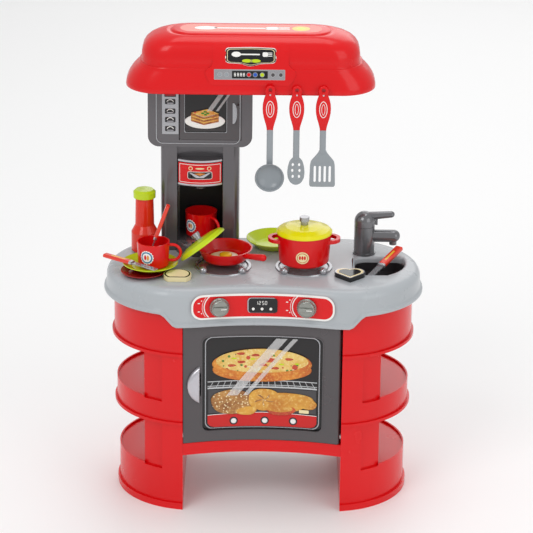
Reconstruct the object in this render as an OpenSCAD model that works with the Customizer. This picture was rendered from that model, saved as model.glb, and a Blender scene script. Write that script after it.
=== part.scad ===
// Toy kitchen: a worktop on two shelf towers, an oven door between them, and a column at the
// back that carries a coffee maker, a microwave and a hood. Pots, plates, mugs and utensils are loose.
// +X is to the right, -Y is the front, +Z is up. The origin is on the floor under the middle.

/* [Worktop] */
// Overall width, over the lip of the worktop
top_w = 430; // [400:1:520]
// Overall depth, over the lip of the worktop
top_d = 224; // [210:1:270]
// Height of the working surface above the floor
top_z = 318; // [300:1:380]
// How far the front curves in at the middle
front_sag = 15; // [8:1:20]
// Thickness of the moulded walls
wall = 2.5; // [2:0.1:3.5]
// Depth of the outer lip beyond the wall
lip_out = 3.5; // [2:0.5:5]
// Height of the lip band
lip_h = 5; // [3:0.5:7]
// Height of the worktop's side wall at the ends
side_h = 34; // [30:1:40]
// Height of the front fascia in the middle
fascia_h = 52; // [48:1:60]

/* [Towers] */
// Clear width between the two towers
gap_w = 212; // [190:1:250]
// Height of the lower shelf's floor
shelf_low = 56; // [45:1:65]
// Height of the upper shelf's floor
shelf_high = 155; // [140:1:165]
// Clear height of each shelf
shelf_h = 68; // [55:1:75]
// Width of the closed part of a tower
tower_box = 52; // [44:1:60]
// How far each tier steps in from the one above
tier_step = 3; // [1:0.5:5]
// Reach of the flange under each tier
flange = 3; // [2:0.5:4]

/* [Oven] */
// Height of the underside of the door above the floor
door_z = 97; // [90:1:105]
// Thickness of the door
door_t = 9; // [7:0.5:12]
// Gap round the door
door_gap = 0.8; // [0.5:0.1:1.5]
// Width of the window
window_w = 160; // [120:1:166]
// Height of the window
window_h = 136; // [100:1:140]
// Radius of the hinge pins
pin_r = 2; // [1.5:0.1:2.5]
// Running clearance round pins and shafts
run_fit = 0.1; // [0.05:0.01:0.1]
// Height of the front rail under the door
rail_h = 17; // [12:1:20]

/* [Controls] */
// Width of the control panel
panel_w = 187; // [170:1:200]
// Height of the control panel
panel_h = 33; // [28:1:36]
// Distance between the two knobs
knob_gap = 116; // [100:1:130]
// Radius of a knob
knob_r = 13.2; // [10:0.2:14]
// Radius of a knob's shaft
shaft_r = 3; // [2.5:0.1:3.5]

/* [Column] */
// Distance of the column's middle to the left of the origin
column_x = 87; // [80:1:95]
// Width of the column
column_w = 106; // [98:1:116]
// Depth of the column
column_d = 63; // [56:1:66]
// Height of the column between worktop and microwave
column_h = 149; // [140:1:180]
// Width of the coffee niche
niche_w = 62; // [58:1:70]
// Height of the coffee niche above its tray
niche_h = 80; // [75:1:90]
// Thickness of the drip tray
tray_h = 15; // [10:1:18]

/* [Microwave] */
// Width of the microwave housing
oven_w = 140; // [130:1:150]
// Depth of the microwave housing
oven_d = 64; // [58:1:70]
// Height of the microwave housing
oven_h = 92; // [85:1:110]

/* [Hood] */
// Width of the hood's brim
hood_w = 332; // [300:1:350]
// Depth of the hood's brim
hood_d = 110; // [100:1:115]
// Height of the whole hood
hood_h = 76; // [70:1:90]
// Distance of the hood's middle to the left of the origin
hood_x = 19.5; // [10:0.5:30]
// Distance between the utensil pegs
peg_gap = 35; // [32:0.5:40]
// Radius of a peg
peg_r = 1.6; // [1.2:0.1:2]

/* [Cookware] */
// Outer radius of the pot
pot_r = 36.5; // [33:0.5:40]
// Height of the pot
pot_h = 41; // [35:1:50]
// Outer radius of the frying pan
pan_r = 36.8; // [33:0.2:38]
// Height of the frying pan
pan_h = 16; // [12:1:20]
// Outer radius of a mug
mug_r = 21.8; // [19:0.2:23]
// Height of a mug
mug_h = 34; // [30:1:38]
// Wall of pots, mugs and plates
ware_wall = 1.8; // [1.5:0.1:2.5]
// Radius of the plates
plate_r = 37; // [33:0.5:39]
// Radius of the bottle
bottle_r = 18.2; // [16:0.2:19]
// Height of the bottle with its cap
bottle_h = 88; // [80:1:96]
// Gap between loose pieces and what they stand on
rest_gap = 0.3; // [0.2:0.05:0.5]

/* [Hidden] */
$fn = 96;
eps = 0.01;

// colours
red_c = [0.86, 0.06, 0.07];
deep_red_c = [0.55, 0.03, 0.05];
pale_grey_c = [0.70, 0.72, 0.74];
dark_grey_c = [0.30, 0.29, 0.29];
black_c = [0.06, 0.06, 0.07];
silver_c = [0.62, 0.63, 0.66];
lime_c = [0.78, 0.85, 0.12];
cream_c = [0.93, 0.88, 0.74];

// worktop
lip_r = top_d / 2;
end_x = top_w / 2 - lip_r;
wall_r = lip_r - lip_out;
top_edge_r = wall_r - 6.5;
// the upper edge steps in by edge_in, and starts edge_low and edge_top below the top
edge_in = 2.5;
edge_low = 7;
edge_top = 3;
side_z = top_z - side_h;
fascia_z = top_z - fascia_h;
// the fascia drops to its full height between these two distances from the middle
fascia_in = gap_w / 2 + 8;
fascia_out = gap_w / 2 + 30;
// distance behind which the lower edge stays at its upper height
drop_y = 60;

// towers
tower_y_r = wall_r - wall - 2;
tier_x = end_x - 5.5;
inner_x = gap_w / 2;
box_x = inner_x + tower_box;
tower_top = side_z + 4;
floor_t = 3;
step_back = 4;

// door, which lies on an arc with its hollow side to the front
door_half = gap_w / 2 - door_gap;
door_front = tower_y_r - 1;
door_bow = (door_half * door_half + front_sag * front_sag) / (2 * front_sag);
door_c = -door_front + front_sag - door_bow;
door_top = fascia_z - 1;
hinge_x = door_half - door_t / 2 - 1;
hinge_y = door_c + sqrt(pow(door_bow + door_t / 2, 2) - hinge_x * hinge_x);
window_z = door_z + 15;
// line of the pull's straight side
grip_x = -(door_half - 22.2);

// fascia and its control panel, on an arc of the worktop's front
fascia_bow = (end_x * end_x + front_sag * front_sag) / (2 * front_sag);
fascia_c = -wall_r + front_sag - fascia_bow;
panel_t = 2;
panel_z = top_z - 24.5;
knob_x = knob_gap / 2;
knob_tilt = asin(knob_x / fascia_bow);
knob_h = 11;

// column and what it carries; the back of the column is in line with the hood's back
back_y = top_d / 2 - 4;
column_front = back_y - column_d;
column_top = top_z + column_h;
tray_z = top_z + tray_h;
niche_top = tray_z + niche_h;
niche_back = back_y - 12;
head_w = niche_w + 9;
pillar_w = (column_w - niche_w) / 2 - 2 * wall;
head_sag = 14;
head_bow = (head_w * head_w / 4 + head_sag * head_sag) / (2 * head_sag);
head_front = column_front - 7;
head_h = 37;
housing_back = back_y - wall - 4;
housing_front = back_y - oven_d;
housing_top = column_top + oven_h;
cavity_x0 = -column_x - 25;
cavity_x1 = -column_x + oven_w / 2 - 17;
cavity_z0 = column_top + 13;
cavity_z1 = housing_top - 12;
mdoor_t = 4;
mdoor_x0 = cavity_x0 - 3;
mdoor_x1 = cavity_x1 + 2.5;
mpin_x = mdoor_x0 + mdoor_t / 2;
mpin_y = housing_front + mdoor_t / 2;
mpin_r = 1.2;
keypad_w = 22;
keypad_gap = 0.8;

// hood
hood_z = housing_top - 5;
brim_top = hood_z + 34;
dome_w = hood_w - 42;
dome_d = hood_d - 12;
hood_y = back_y - hood_d / 2;
dome_top = hood_z + hood_h - 2;
plate_w = 210;
plate_d = 52;
peg_z = hood_z + 7;
peg_y = hood_y - hood_d / 2;
peg_x = 41.6;
peg_len = 12;

// hob
hob_l = [-54.5, -14];
hob_r = [54, -14];
ring_r = 37;
ring_t = 1.8;
ball_r = 5.5;
ball_at = 28;
ball_z = top_z + 3.4;
ware_z = ball_z + ball_r + rest_gap;
flat_share = 0.65;
loop_r = 11;
loop_t = 2;
pot_at = [hob_r[0], hob_r[1]];
pan_at = [hob_l[0] + 2.5, hob_l[1] + 5];

// tap and sink
tap_at = [136.5, 43];
tap_r = 14;
tap_h = 40;
sink_x0 = 123;
sink_x1 = 191;
sink_y0 = -40;
sink_y1 = 27;
sink_depth = 22;

// loose pieces
red_at = [-160, -45];
red_r = 30;
red_h = 5.5;
green_at = [-151, -35];
red_z = top_z + rest_gap;
green_z = red_z + red_h + rest_gap;
mug_f_at = [-147, -33];
mug_f_z = green_z + ware_wall + rest_gap;
mug_r_at = [-column_x + 1, 70];
mug_r_z = tray_z + rest_gap;
bottle_at = [-162, 44];
rear_at = [14, 68];
hole_r = peg_r + run_fit;
utensil_y = peg_y - 6;

// ---- outlines ----

// rectangle with round corners, about its centre
module rrect(w, h, r) {
    square([w - 2 * r, h], center = true);
    square([w, h - 2 * r], center = true);
    for (sx = [-1, 1], sy = [-1, 1]) translate([sx * (w / 2 - r), sy * (h / 2 - r)]) circle(r);
}

// a bean with round ends of radius r, centred cx to each side, and a hollow front
module bean(r, cx) {
    bow = (cx * cx + front_sag * front_sag) / (2 * front_sag);
    difference() {
        union() {
            for (s = [-1, 1]) translate([s * cx, 0]) circle(r);
            square([2 * cx, 2 * r], center = true);
        }
        translate([0, -r + front_sag - bow]) circle(bow, $fn = 360);
    }
}

// a band on an arc about [0, c], from radius r0 to r1
module arc_band(c, r0, r1) {
    translate([0, c]) difference() {
        circle(r1, $fn = 360);
        circle(r0, $fn = 360);
        translate([-2 * r1, -2 * r1]) square([4 * r1, 2 * r1]);
    }
}

// an outline drawn in X and Z, pushed through from y0 to y1
module through(y0, y1) {
    translate([0, y1, 0]) rotate([90, 0, 0]) linear_extrude(y1 - y0) children();
}

// height of the worktop's lower edge at a distance x from the middle
function skirt(x) = let (t = (abs(x) - fascia_in) / (fascia_out - fascia_in))
    t <= 0 ? fascia_z : t >= 1 ? side_z : fascia_z + (side_z - fascia_z) * (1 - cos(180 * t)) / 2;

// region between the lower edge plus a and plus b, seen from the front
module skirt_band(a, b) {
    xs = [-top_w, each [for (i = [0:8]) -fascia_out + (fascia_out - fascia_in) * i / 8],
        each [for (i = [0:8]) fascia_in + (fascia_out - fascia_in) * i / 8], top_w];
    polygon(concat([for (x = xs) [x, skirt(x) + a]],
        [for (i = [len(xs) - 1:-1:0]) [xs[i], skirt(xs[i]) + b]]));
}

// round-cornered box, hollow when its wall is over 0, open at the bottom
module tapered(w0, d0, w1, d1, r, h) {
    hull() {
        linear_extrude(eps) rrect(w0, d0, r, $fn = 32);
        translate([0, 0, h - eps]) linear_extrude(eps) rrect(w1, d1, min(r, d1 / 2 - 1), $fn = 32);
    }
}

// ---- cabinet ----

// outline of one tower at the tier that is n steps down, grown by g
module tier(n, g = 0) {
    intersection() {
        translate([tier_x - n * tier_step, 0]) circle(tower_y_r + g);
        translate([inner_x, -top_d]) square([top_w, 2 * top_d]);
    }
    // the front and back run straight from the inner side to the round end
    if (inner_x < tier_x - n * tier_step)
        translate([inner_x, -tower_y_r - g]) square([tier_x - n * tier_step - inner_x, 2 * (tower_y_r + g)]);
}

// the open space of one shelf, outside the tower's closed part
module pocket(z, n) {
    translate([box_x, -top_d, z]) cube([top_w, 2 * top_d, shelf_h]);
    // the front wall steps back beside the opening
    translate([0, 0, z]) linear_extrude(shelf_h) difference() {
        translate([box_x - 24, -top_d]) square([24 + eps, top_d]);
        tier(n, -step_back);
    }
}

module tower() {
    mid_z = shelf_low + shelf_h;
    high_z = shelf_high + shelf_h;
    difference() {
        union() {
            linear_extrude(mid_z) tier(2);
            translate([0, 0, mid_z]) linear_extrude(high_z - mid_z) tier(1);
            translate([0, 0, high_z]) linear_extrude(tower_top - high_z) tier(0);
            // flanges at the foot of each tier
            linear_extrude(9) tier(2, flange);
            translate([0, 0, mid_z]) linear_extrude(4) tier(1, flange);
            translate([0, 0, high_z]) linear_extrude(4) tier(0, flange);
        }
        pocket(shelf_low, 2);
        pocket(shelf_high, 1);
        // closed part is a hollow box, open underneath
        translate([0, 0, -eps]) linear_extrude(tower_top - wall) intersection() {
            tier(2, -wall - step_back);
            translate([inner_x + wall, -top_d]) square([tower_box - 2 * wall, 2 * top_d]);
        }
        // hollow foot and hollow tiers, open underneath or to the shelf below
        hollow_tier(2, -eps, shelf_low - floor_t);
        hollow_tier(1, mid_z - eps, shelf_high - floor_t - mid_z);
        hollow_tier(0, high_z - eps, tower_top - wall - high_z);
    }
    // raised rim round the front of each shelf floor
    for (s = [[shelf_low, 2], [shelf_high, 1]])
        translate([0, 0, s[0] - eps]) linear_extrude(3) difference() {
            tier(s[1]);
            tier(s[1], -2);
            translate([0, -top_d]) square([box_x, 2 * top_d]);
        }
}

// the hollow under one tier's shelf floor
module hollow_tier(n, z, h) {
    translate([0, 0, z]) linear_extrude(h) difference() {
        tier(n, -wall);
        translate([0, -top_d]) square([box_x, 2 * top_d]);
    }
}

module cabinet_right() color(red_c) tower();
module cabinet_left() color(red_c) mirror([1, 0, 0]) tower();

module front_rail() {
    color(red_c) difference() {
        translate([0, 0, door_z - 1 - rail_h]) linear_extrude(rail_h) intersection() {
            arc_band(door_c, door_bow + 1, door_bow + 22);
            square([gap_w, top_d * 2], center = true);
        }
        // lower hinge bearing
        translate([hinge_x, hinge_y, door_z - 8]) cylinder(r = pin_r + run_fit, h = 20);
        // hollow underneath
        translate([0, 0, door_z - 2 - rail_h]) linear_extrude(rail_h - 9) intersection() {
            arc_band(door_c, door_bow + 1 + wall, door_bow + 22 - wall);
            square([gap_w - 8, top_d * 2], center = true);
        }
    }
}

// dark box behind the door, open to the front
module oven_liner() {
    z0 = door_z - 1;
    z1 = tower_top;
    back = 90;
    front = door_c + door_bow + 22;
    color(dark_grey_c) difference() {
        translate([-inner_x, 0, z0]) cube([gap_w, back, z1 - z0]);
        translate([-inner_x + wall, -eps, z0 + wall]) cube([gap_w - 2 * wall, back - wall, z1 - z0 - 2 * wall]);
    }
    // floor, roof and sides run forward to the rail
    color(dark_grey_c) for (z = [z0, z1 - wall]) translate([0, 0, z]) linear_extrude(wall) difference() {
        translate([-inner_x, front]) square([gap_w, -front]);
        translate([0, door_c]) circle(door_bow + door_t + 4, $fn = 360);
    }
    color(dark_grey_c) for (s = [-1, 1]) translate([s * (inner_x - wall / 2), 0, (z0 + z1) / 2])
        translate([-wall / 2, -70, -(z1 - z0) / 2]) cube([wall, 70, z1 - z0]);
}

// ---- worktop ----

module sink_outline(d = 0) {
    intersection() {
        translate([(sink_x0 + sink_x1) / 2, (sink_y0 + sink_y1) / 2])
            rrect(sink_x1 - sink_x0 - 2 * d, sink_y1 - sink_y0 - 2 * d, 18 - d);
        translate([sink_x1 - 60, 10]) circle(60 - d);
    }
}

module worktop() {
    color(pale_grey_c) difference() {
        union() {
            translate([0, 0, fascia_z]) linear_extrude(fascia_h - edge_low) bean(wall_r, end_x);
            translate([0, 0, top_z - edge_low - eps]) linear_extrude(edge_low - edge_top) bean(wall_r - edge_in, end_x);
            translate([0, 0, top_z - edge_top - 2 * eps]) linear_extrude(edge_top + 2 * eps) bean(top_edge_r, end_x);
            // lip band along the lower edge
            intersection() {
                translate([0, 0, fascia_z]) linear_extrude(fascia_h) bean(lip_r, end_x);
                union() {
                    through(-top_d, -drop_y) skirt_band(0, lip_h);
                    translate([-top_w, -drop_y, side_z]) cube([2 * top_w, 2 * top_d, lip_h]);
                }
            }
        }
        // hollow underside, in two steps like the outside
        translate([0, 0, fascia_z - 1]) linear_extrude(fascia_h + 1 - edge_low - wall) bean(wall_r - wall, end_x);
        translate([0, 0, fascia_z - 1]) linear_extrude(fascia_h + 1 - edge_top - wall)
            bean(wall_r - edge_in - wall, end_x);
        // lower edge, with the drop at the front only
        through(-top_d, top_d) skirt_band(-60, 0);
        translate([-top_w, -drop_y, fascia_z - 20]) cube([2 * top_w, 2 * top_d, side_z - fascia_z + 20]);
        // sink opening
        translate([0, 0, top_z - 30]) linear_extrude(40) sink_outline();
        // knob shafts
        for (s = [-1, 1]) at_knob(s) translate([0, 0, -12]) cylinder(r = shaft_r + run_fit, h = 20);
        // tap spigot
        translate([tap_at[0], tap_at[1], top_z - 10]) cylinder(r = tap_r - 4 + run_fit, h = 20);
    }
    // upper bearing of the oven door
    color(pale_grey_c) difference() {
        translate([hinge_x, hinge_y, door_top + 1]) cylinder(r = pin_r + 3, h = top_z - wall - 3 - door_top);
        translate([hinge_x, hinge_y, door_top]) cylinder(r = pin_r + run_fit, h = 9);
    }
    // collar round the sink opening
    color(pale_grey_c) translate([0, 0, top_z - 8]) linear_extrude(8 - wall) difference() {
        sink_outline(-2);
        sink_outline();
    }
}

// puts its children on the fascia at knob s, pointing out of it
module at_knob(s) {
    translate([0, fascia_c, panel_z]) rotate([0, 0, -s * knob_tilt]) translate([0, fascia_bow, 0])
        rotate([90, 0, 0]) children();
}

module sink_bowl() {
    color(dark_grey_c) difference() {
        translate([0, 0, top_z - sink_depth]) linear_extrude(sink_depth - 8) sink_outline(-1.5);
        translate([0, 0, top_z - sink_depth + wall]) linear_extrude(sink_depth) sink_outline(1);
    }
}

module burner(at) {
    translate([at[0], at[1], top_z]) {
        rotate_extrude() polygon([[ring_r - 3, 0], [ring_r + 1.5, 0], [ring_r + 1, ring_t],
            [ring_r - 2.5, ring_t]]);
        for (a = [45:90:315]) rotate([0, 0, a]) translate([ball_at * sqrt(2) - 3, 0, 3.4]) sphere(ball_r);
        // low disc inside the ring
        cylinder(r = ring_r - 5, h = 1.2);
    }
}

module burner_left() color(silver_c) difference() {
    burner(hob_l);
    translate([-top_w, -top_d, top_z - 20]) cube([2 * top_w, 2 * top_d, 20]);
}
module burner_right() color(silver_c) difference() {
    burner(hob_r);
    translate([-top_w, -top_d, top_z - 20]) cube([2 * top_w, 2 * top_d, 20]);
}

// ---- controls ----

module control_panel() {
    color(red_c) difference() {
        intersection() {
            translate([0, 0, fascia_z]) linear_extrude(fascia_h) arc_band(fascia_c, fascia_bow - panel_t, fascia_bow);
            translate([0, 0, panel_z]) through(-top_d, 0) rrect(panel_w, panel_h, 13);
        }
        for (s = [-1, 1]) at_knob(s) translate([0, 0, -12]) cylinder(r = shaft_r + run_fit, h = 20);
    }
}

module clock() {
    color(black_c) intersection() {
        translate([0, 0, fascia_z]) linear_extrude(fascia_h)
            arc_band(fascia_c, fascia_bow - panel_t - 2, fascia_bow - panel_t);
        translate([0, 0, panel_z + 1]) through(-top_d, 0) rrect(38, 20, 4);
    }
}

module knob_body() {
    color(silver_c) {
        translate([0, 0, panel_t + 0.4]) difference() {
            union() {
                cylinder(r = knob_r, h = 4);
                cylinder(r = knob_r - 1.4, h = 6);
                translate([-3.2, -knob_r + 1.6, 0]) cube([6.4, 2 * knob_r - 3.2, knob_h]);
            }
            // pointer groove
            translate([-0.5, 2, knob_h - 0.8]) cube([1, knob_r - 4, 2]);
        }
        translate([0, 0, -9]) cylinder(r = shaft_r, h = 12);
    }
}

// spring clip behind the fascia
module knob_clip() {
    color(silver_c) translate([0, 0, -wall - 2.3]) difference() {
        cylinder(r = shaft_r + 3, h = 1.5);
        translate([0, 0, -1]) cylinder(r = shaft_r, h = 4);
    }
}

module knob_left() at_knob(-1) knob_body();
module knob_right() at_knob(1) knob_body();
module knob_left_clip() at_knob(-1) knob_clip();
module knob_right_clip() at_knob(1) knob_clip();

// ---- oven door ----

module door_blank(z0, z1, r0, r1, half) {
    translate([0, 0, z0]) linear_extrude(z1 - z0) intersection() {
        arc_band(door_c, r0, r1);
        translate([-half, -top_d]) square([2 * half, top_d]);
    }
}

module oven_door() {
    color(dark_grey_c) difference() {
        union() {
            translate([0, 0, door_z]) linear_extrude(door_top - door_z) intersection() {
                arc_band(door_c, door_bow, door_bow + door_t);
                translate([-door_half, -top_d]) square([door_half + hinge_x, top_d]);
            }
            // hinge barrel
            translate([hinge_x, hinge_y, door_z]) cylinder(r = door_t / 2, h = door_top - door_z);
        }
        translate([0, 0, window_z + window_h / 2]) through(-top_d, 0) rrect(window_w, window_h, 8);
        // bores for the hinge pins
        for (z = [door_z - 1, door_top - 14]) translate([hinge_x, hinge_y, z]) cylinder(r = pin_r, h = 15);
        // finger slot beside the handle
        translate([grip_x, -top_d, 164]) cube([3, top_d, 33]);
    }
}

module oven_window() {
    color(black_c) intersection() {
        door_blank(door_z, door_top, door_bow + 4, door_bow + 6.5, door_half);
        translate([0, 0, window_z + window_h / 2]) through(-top_d, 0) rrect(window_w, window_h, 8);
    }
}

// half-moon pull at the left of the window
module oven_handle() {
    color(silver_c) difference() {
        intersection() {
            translate([grip_x + 12.5, 0, 180.5]) through(-door_front - 8, -door_front + 20) circle(29.5);
            translate([-top_w, -top_d, 0]) cube([top_w + grip_x - 0.1, 2 * top_d, top_z]);
        }
        // sits on the door's face
        linear_extrude(top_z) arc_band(door_c, door_bow, door_bow + 60);
        // hollow side for the fingers
        translate([grip_x - 9, -door_front - 5, 166]) cube([10, 30, 29]);
    }
}

module oven_hinge_pins() {
    color(silver_c) {
        translate([hinge_x, hinge_y, door_z - 7]) cylinder(r = pin_r, h = 7 + 14);
        translate([hinge_x, hinge_y, door_top - 14]) cylinder(r = pin_r, h = 14 + 8);
    }
}

// ---- column ----

module column() {
    h = column_top - top_z;
    color(dark_grey_c) difference() {
        translate([-column_x, 0, top_z]) linear_extrude(h) union() {
            translate([0, back_y - column_d / 2]) rrect(column_w, column_d, 9);
            translate([0, back_y - column_d / 4]) square([column_w, column_d / 2], center = true);
        }
        // coffee niche, and the shallow recess above it
        translate([-column_x - niche_w / 2, column_front - 1, tray_z]) cube([niche_w, niche_back - column_front + 1, niche_h]);
        translate([-column_x - niche_w / 2, column_front - 1, tray_z]) cube([niche_w, 13, h - tray_h + 1]);
        // hollow behind and above the niche
        translate([-column_x - niche_w / 2, column_front + 14, niche_top + wall])
            cube([niche_w, column_d, column_h]);
        translate([-column_x - column_w / 2 + wall, niche_back + wall, top_z - 1])
            cube([column_w - 2 * wall, column_d, column_h + 2]);
        // hollow side pillars, open to the back
        for (sx = [-1, 1]) translate([-column_x + sx * (niche_w + column_w) / 4 - pillar_w / 2, column_front + 6, top_z + 4])
            cube([pillar_w, column_d, column_h - 8]);
        // seat of the back cover
        translate([-column_x - column_w / 2 + wall, back_y - 2, top_z - 1]) cube([column_w - 2 * wall, 4, column_h + 2]);
    }
    // plinth in front of the niche
    color(dark_grey_c) translate([-column_x, column_front + 8, top_z]) linear_extrude(tray_h - 3) difference() {
        circle(34);
        translate([-50, -7.9]) square([100, 60]);
    }
}

module column_back() {
    color(dark_grey_c) difference() {
        translate([-column_x - column_w / 2 + wall, back_y - 2, top_z]) cube([column_w - 2 * wall, 2, column_h]);
        for (sx = [-1, 1], sz = [12, column_h - 12]) translate([-column_x + sx * (column_w / 2 - 8), back_y, top_z + sz])
            rotate([90, 0, 0]) cylinder(r = 1.5, h = 6, center = true);
    }
}

// four screws that hold the back cover
module rear_screws() {
    color(silver_c) for (sx = [-1, 1], sz = [12, column_h - 12])
        translate([-column_x + sx * (column_w / 2 - 8), back_y, top_z + sz]) rotate([-90, 0, 0]) difference() {
            union() {
                cylinder(r = 3, h = 1.6);
                translate([0, 0, -2]) cylinder(r = 1.5, h = 2.5);
            }
            translate([-2, -0.4, 1]) cube([4, 0.8, 2]);
            translate([-0.4, -2, 1]) cube([0.8, 4, 2]);
        }
}

// rounded front of the coffee maker
module coffee_head() {
    front = head_front;
    color(dark_grey_c) translate([-column_x, 0, niche_top]) linear_extrude(head_h) intersection() {
        translate([0, front + head_bow]) circle(head_bow);
        translate([-niche_w / 2, front - 1]) square([niche_w, column_front + 12 - front + 1]);
    }
    color(silver_c) for (z = [niche_top, niche_top + head_h - 3]) translate([-column_x, 0, z])
        linear_extrude(3) intersection() {
            translate([0, front + head_bow]) circle(head_bow + 1.5);
            translate([-head_w / 2, front - 3]) square([head_w, column_front - front + 3]);
        }
}

module coffee_nozzle() {
    color(dark_grey_c) translate([-column_x, head_front + 24, niche_top - 9]) difference() {
        union() {
            cylinder(r = 8, h = 5);
            translate([0, 0, 5]) cylinder(r = 10, h = 4);
        }
        for (s = [-1, 1]) translate([s * 3.5, 0, -1]) cylinder(r = 1.4, h = 5);
    }
}

module drip_tray() {
    color(silver_c) translate([-column_x, column_front + 8, tray_z - 3]) linear_extrude(3) difference() {
        circle(30.8);
        translate([-50, -8]) square([100, 60]);
        for (i = [-2:2]) translate([i * 9, -19]) square([3, 10], center = true);
    }
}

// ---- microwave ----

module microwave_housing() {
    x0 = -column_x - oven_w / 2;
    color(dark_grey_c) difference() {
        translate([-column_x, 0, column_top + oven_h / 2]) through(housing_front, housing_back) union() {
            rrect(oven_w, oven_h, 15);
            translate([0, oven_h / 4]) square([oven_w, oven_h / 2], center = true);
        }
        // cooking space
        translate([cavity_x0, housing_front - 1, cavity_z0])
            cube([cavity_x1 - cavity_x0, housing_back - housing_front - wall + 1, cavity_z1 - cavity_z0]);
        // seat of the door
        translate([mdoor_x0 - 0.4, housing_front - 1, cavity_z0 - 3.4])
            cube([mdoor_x1 - mdoor_x0 + 0.8, mdoor_t + 1.4, cavity_z1 - cavity_z0 + 6.8]);
        // hollow behind the keypad
        translate([x0 + wall, housing_front + wall, column_top + 12])
            cube([mdoor_x0 - x0 - 3 * wall, housing_back - housing_front - 2 * wall, oven_h - 12 - 2 * wall]);
        // hinge bearings
        translate([mpin_x, mpin_y, cavity_z0 - 7]) cylinder(r = mpin_r + run_fit, h = cavity_z1 - cavity_z0 + 13);
    }
}

module microwave_keypad() {
    color(silver_c) translate([mdoor_x0 - keypad_gap - keypad_w, housing_front - 1.2, column_top + 18])
        cube([keypad_w, 1.2, 62]);
    color(dark_grey_c) for (i = [0:3])
        translate([mdoor_x0 - keypad_gap - keypad_w / 2 - 7, housing_front - 2.4, column_top + 20.5 + i * 12.4])
            cube([14, 1.25, 7]);
}

module microwave_door() {
    z0 = cavity_z0 - 3;
    h = cavity_z1 - cavity_z0 + 6;
    color(dark_grey_c) difference() {
        union() {
            translate([mpin_x, housing_front, z0]) cube([mdoor_x1 - mpin_x, mdoor_t, h]);
            translate([mpin_x, mpin_y, z0]) cylinder(r = mdoor_t / 2, h = h);
            // curved grip at the free side
            translate([mdoor_x1 - 6, housing_front - 5, z0 + 20]) cube([3, 6, 30]);
        }
        translate([cavity_x0 + 4, housing_front - 1, z0 + 10]) cube([57, 8, h - 16]);
        translate([mpin_x, mpin_y, z0 - 1]) cylinder(r = mpin_r, h = 9);
        translate([mpin_x, mpin_y, z0 + h - 8]) cylinder(r = mpin_r, h = 9);
    }
}

module microwave_window() {
    z0 = cavity_z0 - 3;
    h = cavity_z1 - cavity_z0 + 6;
    color(black_c) translate([cavity_x0 + 4, housing_front + 1, z0 + 10]) cube([57, 2, h - 16]);
}

module microwave_pins() {
    z0 = cavity_z0 - 3;
    h = cavity_z1 - cavity_z0 + 6;
    color(silver_c) {
        translate([mpin_x, mpin_y, z0 - 3]) cylinder(r = mpin_r, h = 3 + 8);
        translate([mpin_x, mpin_y, z0 + h - 8]) cylinder(r = mpin_r, h = 8 + 3);
    }
}

// ---- hood ----

module hood_brim() {
    inner_w = hood_w - 2 * wall;
    inner_d = hood_d - 2 * wall;
    color(red_c) translate([-hood_x, hood_y, hood_z]) difference() {
        union() {
            linear_extrude(6) rrect(hood_w, hood_d, 46);
            translate([0, 0, 6 - eps]) tapered(hood_w, hood_d, dome_w + 6, dome_d + 4, 46, brim_top - hood_z - 6);
        }
        translate([0, 0, -eps]) linear_extrude(6 + 2 * eps) rrect(inner_w, inner_d, 46 - wall);
        translate([0, 0, 6]) tapered(inner_w, inner_d, dome_w - 8, dome_d - 8, 44, brim_top - hood_z - 6 + eps);
    }
    // block behind the microwave that holds the hood
    color(red_c) translate([-column_x - 40, housing_back, hood_z])
        cube([80, back_y - wall / 2 - housing_back, 14]);
    // lower part of the badge carrier
    color(red_c) intersection() {
        badge_carrier();
        translate([-hood_w, -top_d, 0]) cube([2 * hood_w, top_d + hood_y - dome_d / 2 - 2, brim_top]);
    }
}

module hood_dome() {
    z1 = brim_top;
    z2 = dome_top - 22;
    color(red_c) translate([-hood_x, hood_y, 0]) difference() {
        union() {
            translate([0, 0, z1]) linear_extrude(z2 - z1 + eps) rrect(dome_w, dome_d, 38);
            translate([0, 0, z2]) tapered(dome_w, dome_d, dome_w - 26, dome_d - 20, 38, 14);
            translate([0, 0, z2 + 14 - eps]) tapered(dome_w - 26, dome_d - 20, plate_w + 10, plate_d + 6, 28, 8);
        }
        translate([0, 0, z1 - eps]) linear_extrude(z2 - z1 + 1) rrect(dome_w - 2 * wall, dome_d - 2 * wall, 38 - wall);
        translate([0, 0, z2]) tapered(dome_w - 2 * wall, dome_d - 2 * wall, plate_w, plate_d - 4, 24, 19);
    }
    // upper part of the flat badge carrier on the front
    color(red_c) intersection() {
        badge_carrier();
        translate([-hood_w, -top_d, z1]) cube([2 * hood_w, 2 * top_d, hood_h]);
    }
}

// flat plate that stands a little proud of the dome and reaches down over the brim
module badge_carrier() {
    translate([-hood_x, 0, hood_z + 40]) through(peg_y + 1, hood_y - dome_d / 2 + 1) rrect(102, 54, 8);
}

module hood_plate() {
    color(red_c) translate([-hood_x, hood_y, dome_top]) linear_extrude(2) rrect(plate_w, plate_d, 25.9);
}

// three pegs with a collar each, on the brim's lower edge
module utensil_pegs() {
    color(red_c) for (i = [-1:1]) translate([peg_x + i * peg_gap, peg_y, peg_z]) rotate([90, 0, 0]) {
        translate([0, 0, 0.5]) cylinder(r = peg_r + 1.4, h = 2.3);
        cylinder(r = peg_r, h = peg_len);
    }
}

// ---- tap ----

module tap_body() {
    color(dark_grey_c) translate([tap_at[0], tap_at[1], top_z]) {
        cylinder(r = tap_r + 1.4, h = 2.5);
        cylinder(r = tap_r, h = tap_h - 0.4);
        translate([0, 0, -8]) cylinder(r = tap_r - 4, h = 9);
        // spout
        translate([0, 0, 25]) rotate([0, 90, 0]) cylinder(r = 8.5, h = 40);
        translate([40, 0, 25]) sphere(8.5);
        // outlet under its end
        translate([39, 0, 13]) cylinder(r = 5, h = 10);
    }
}

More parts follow.
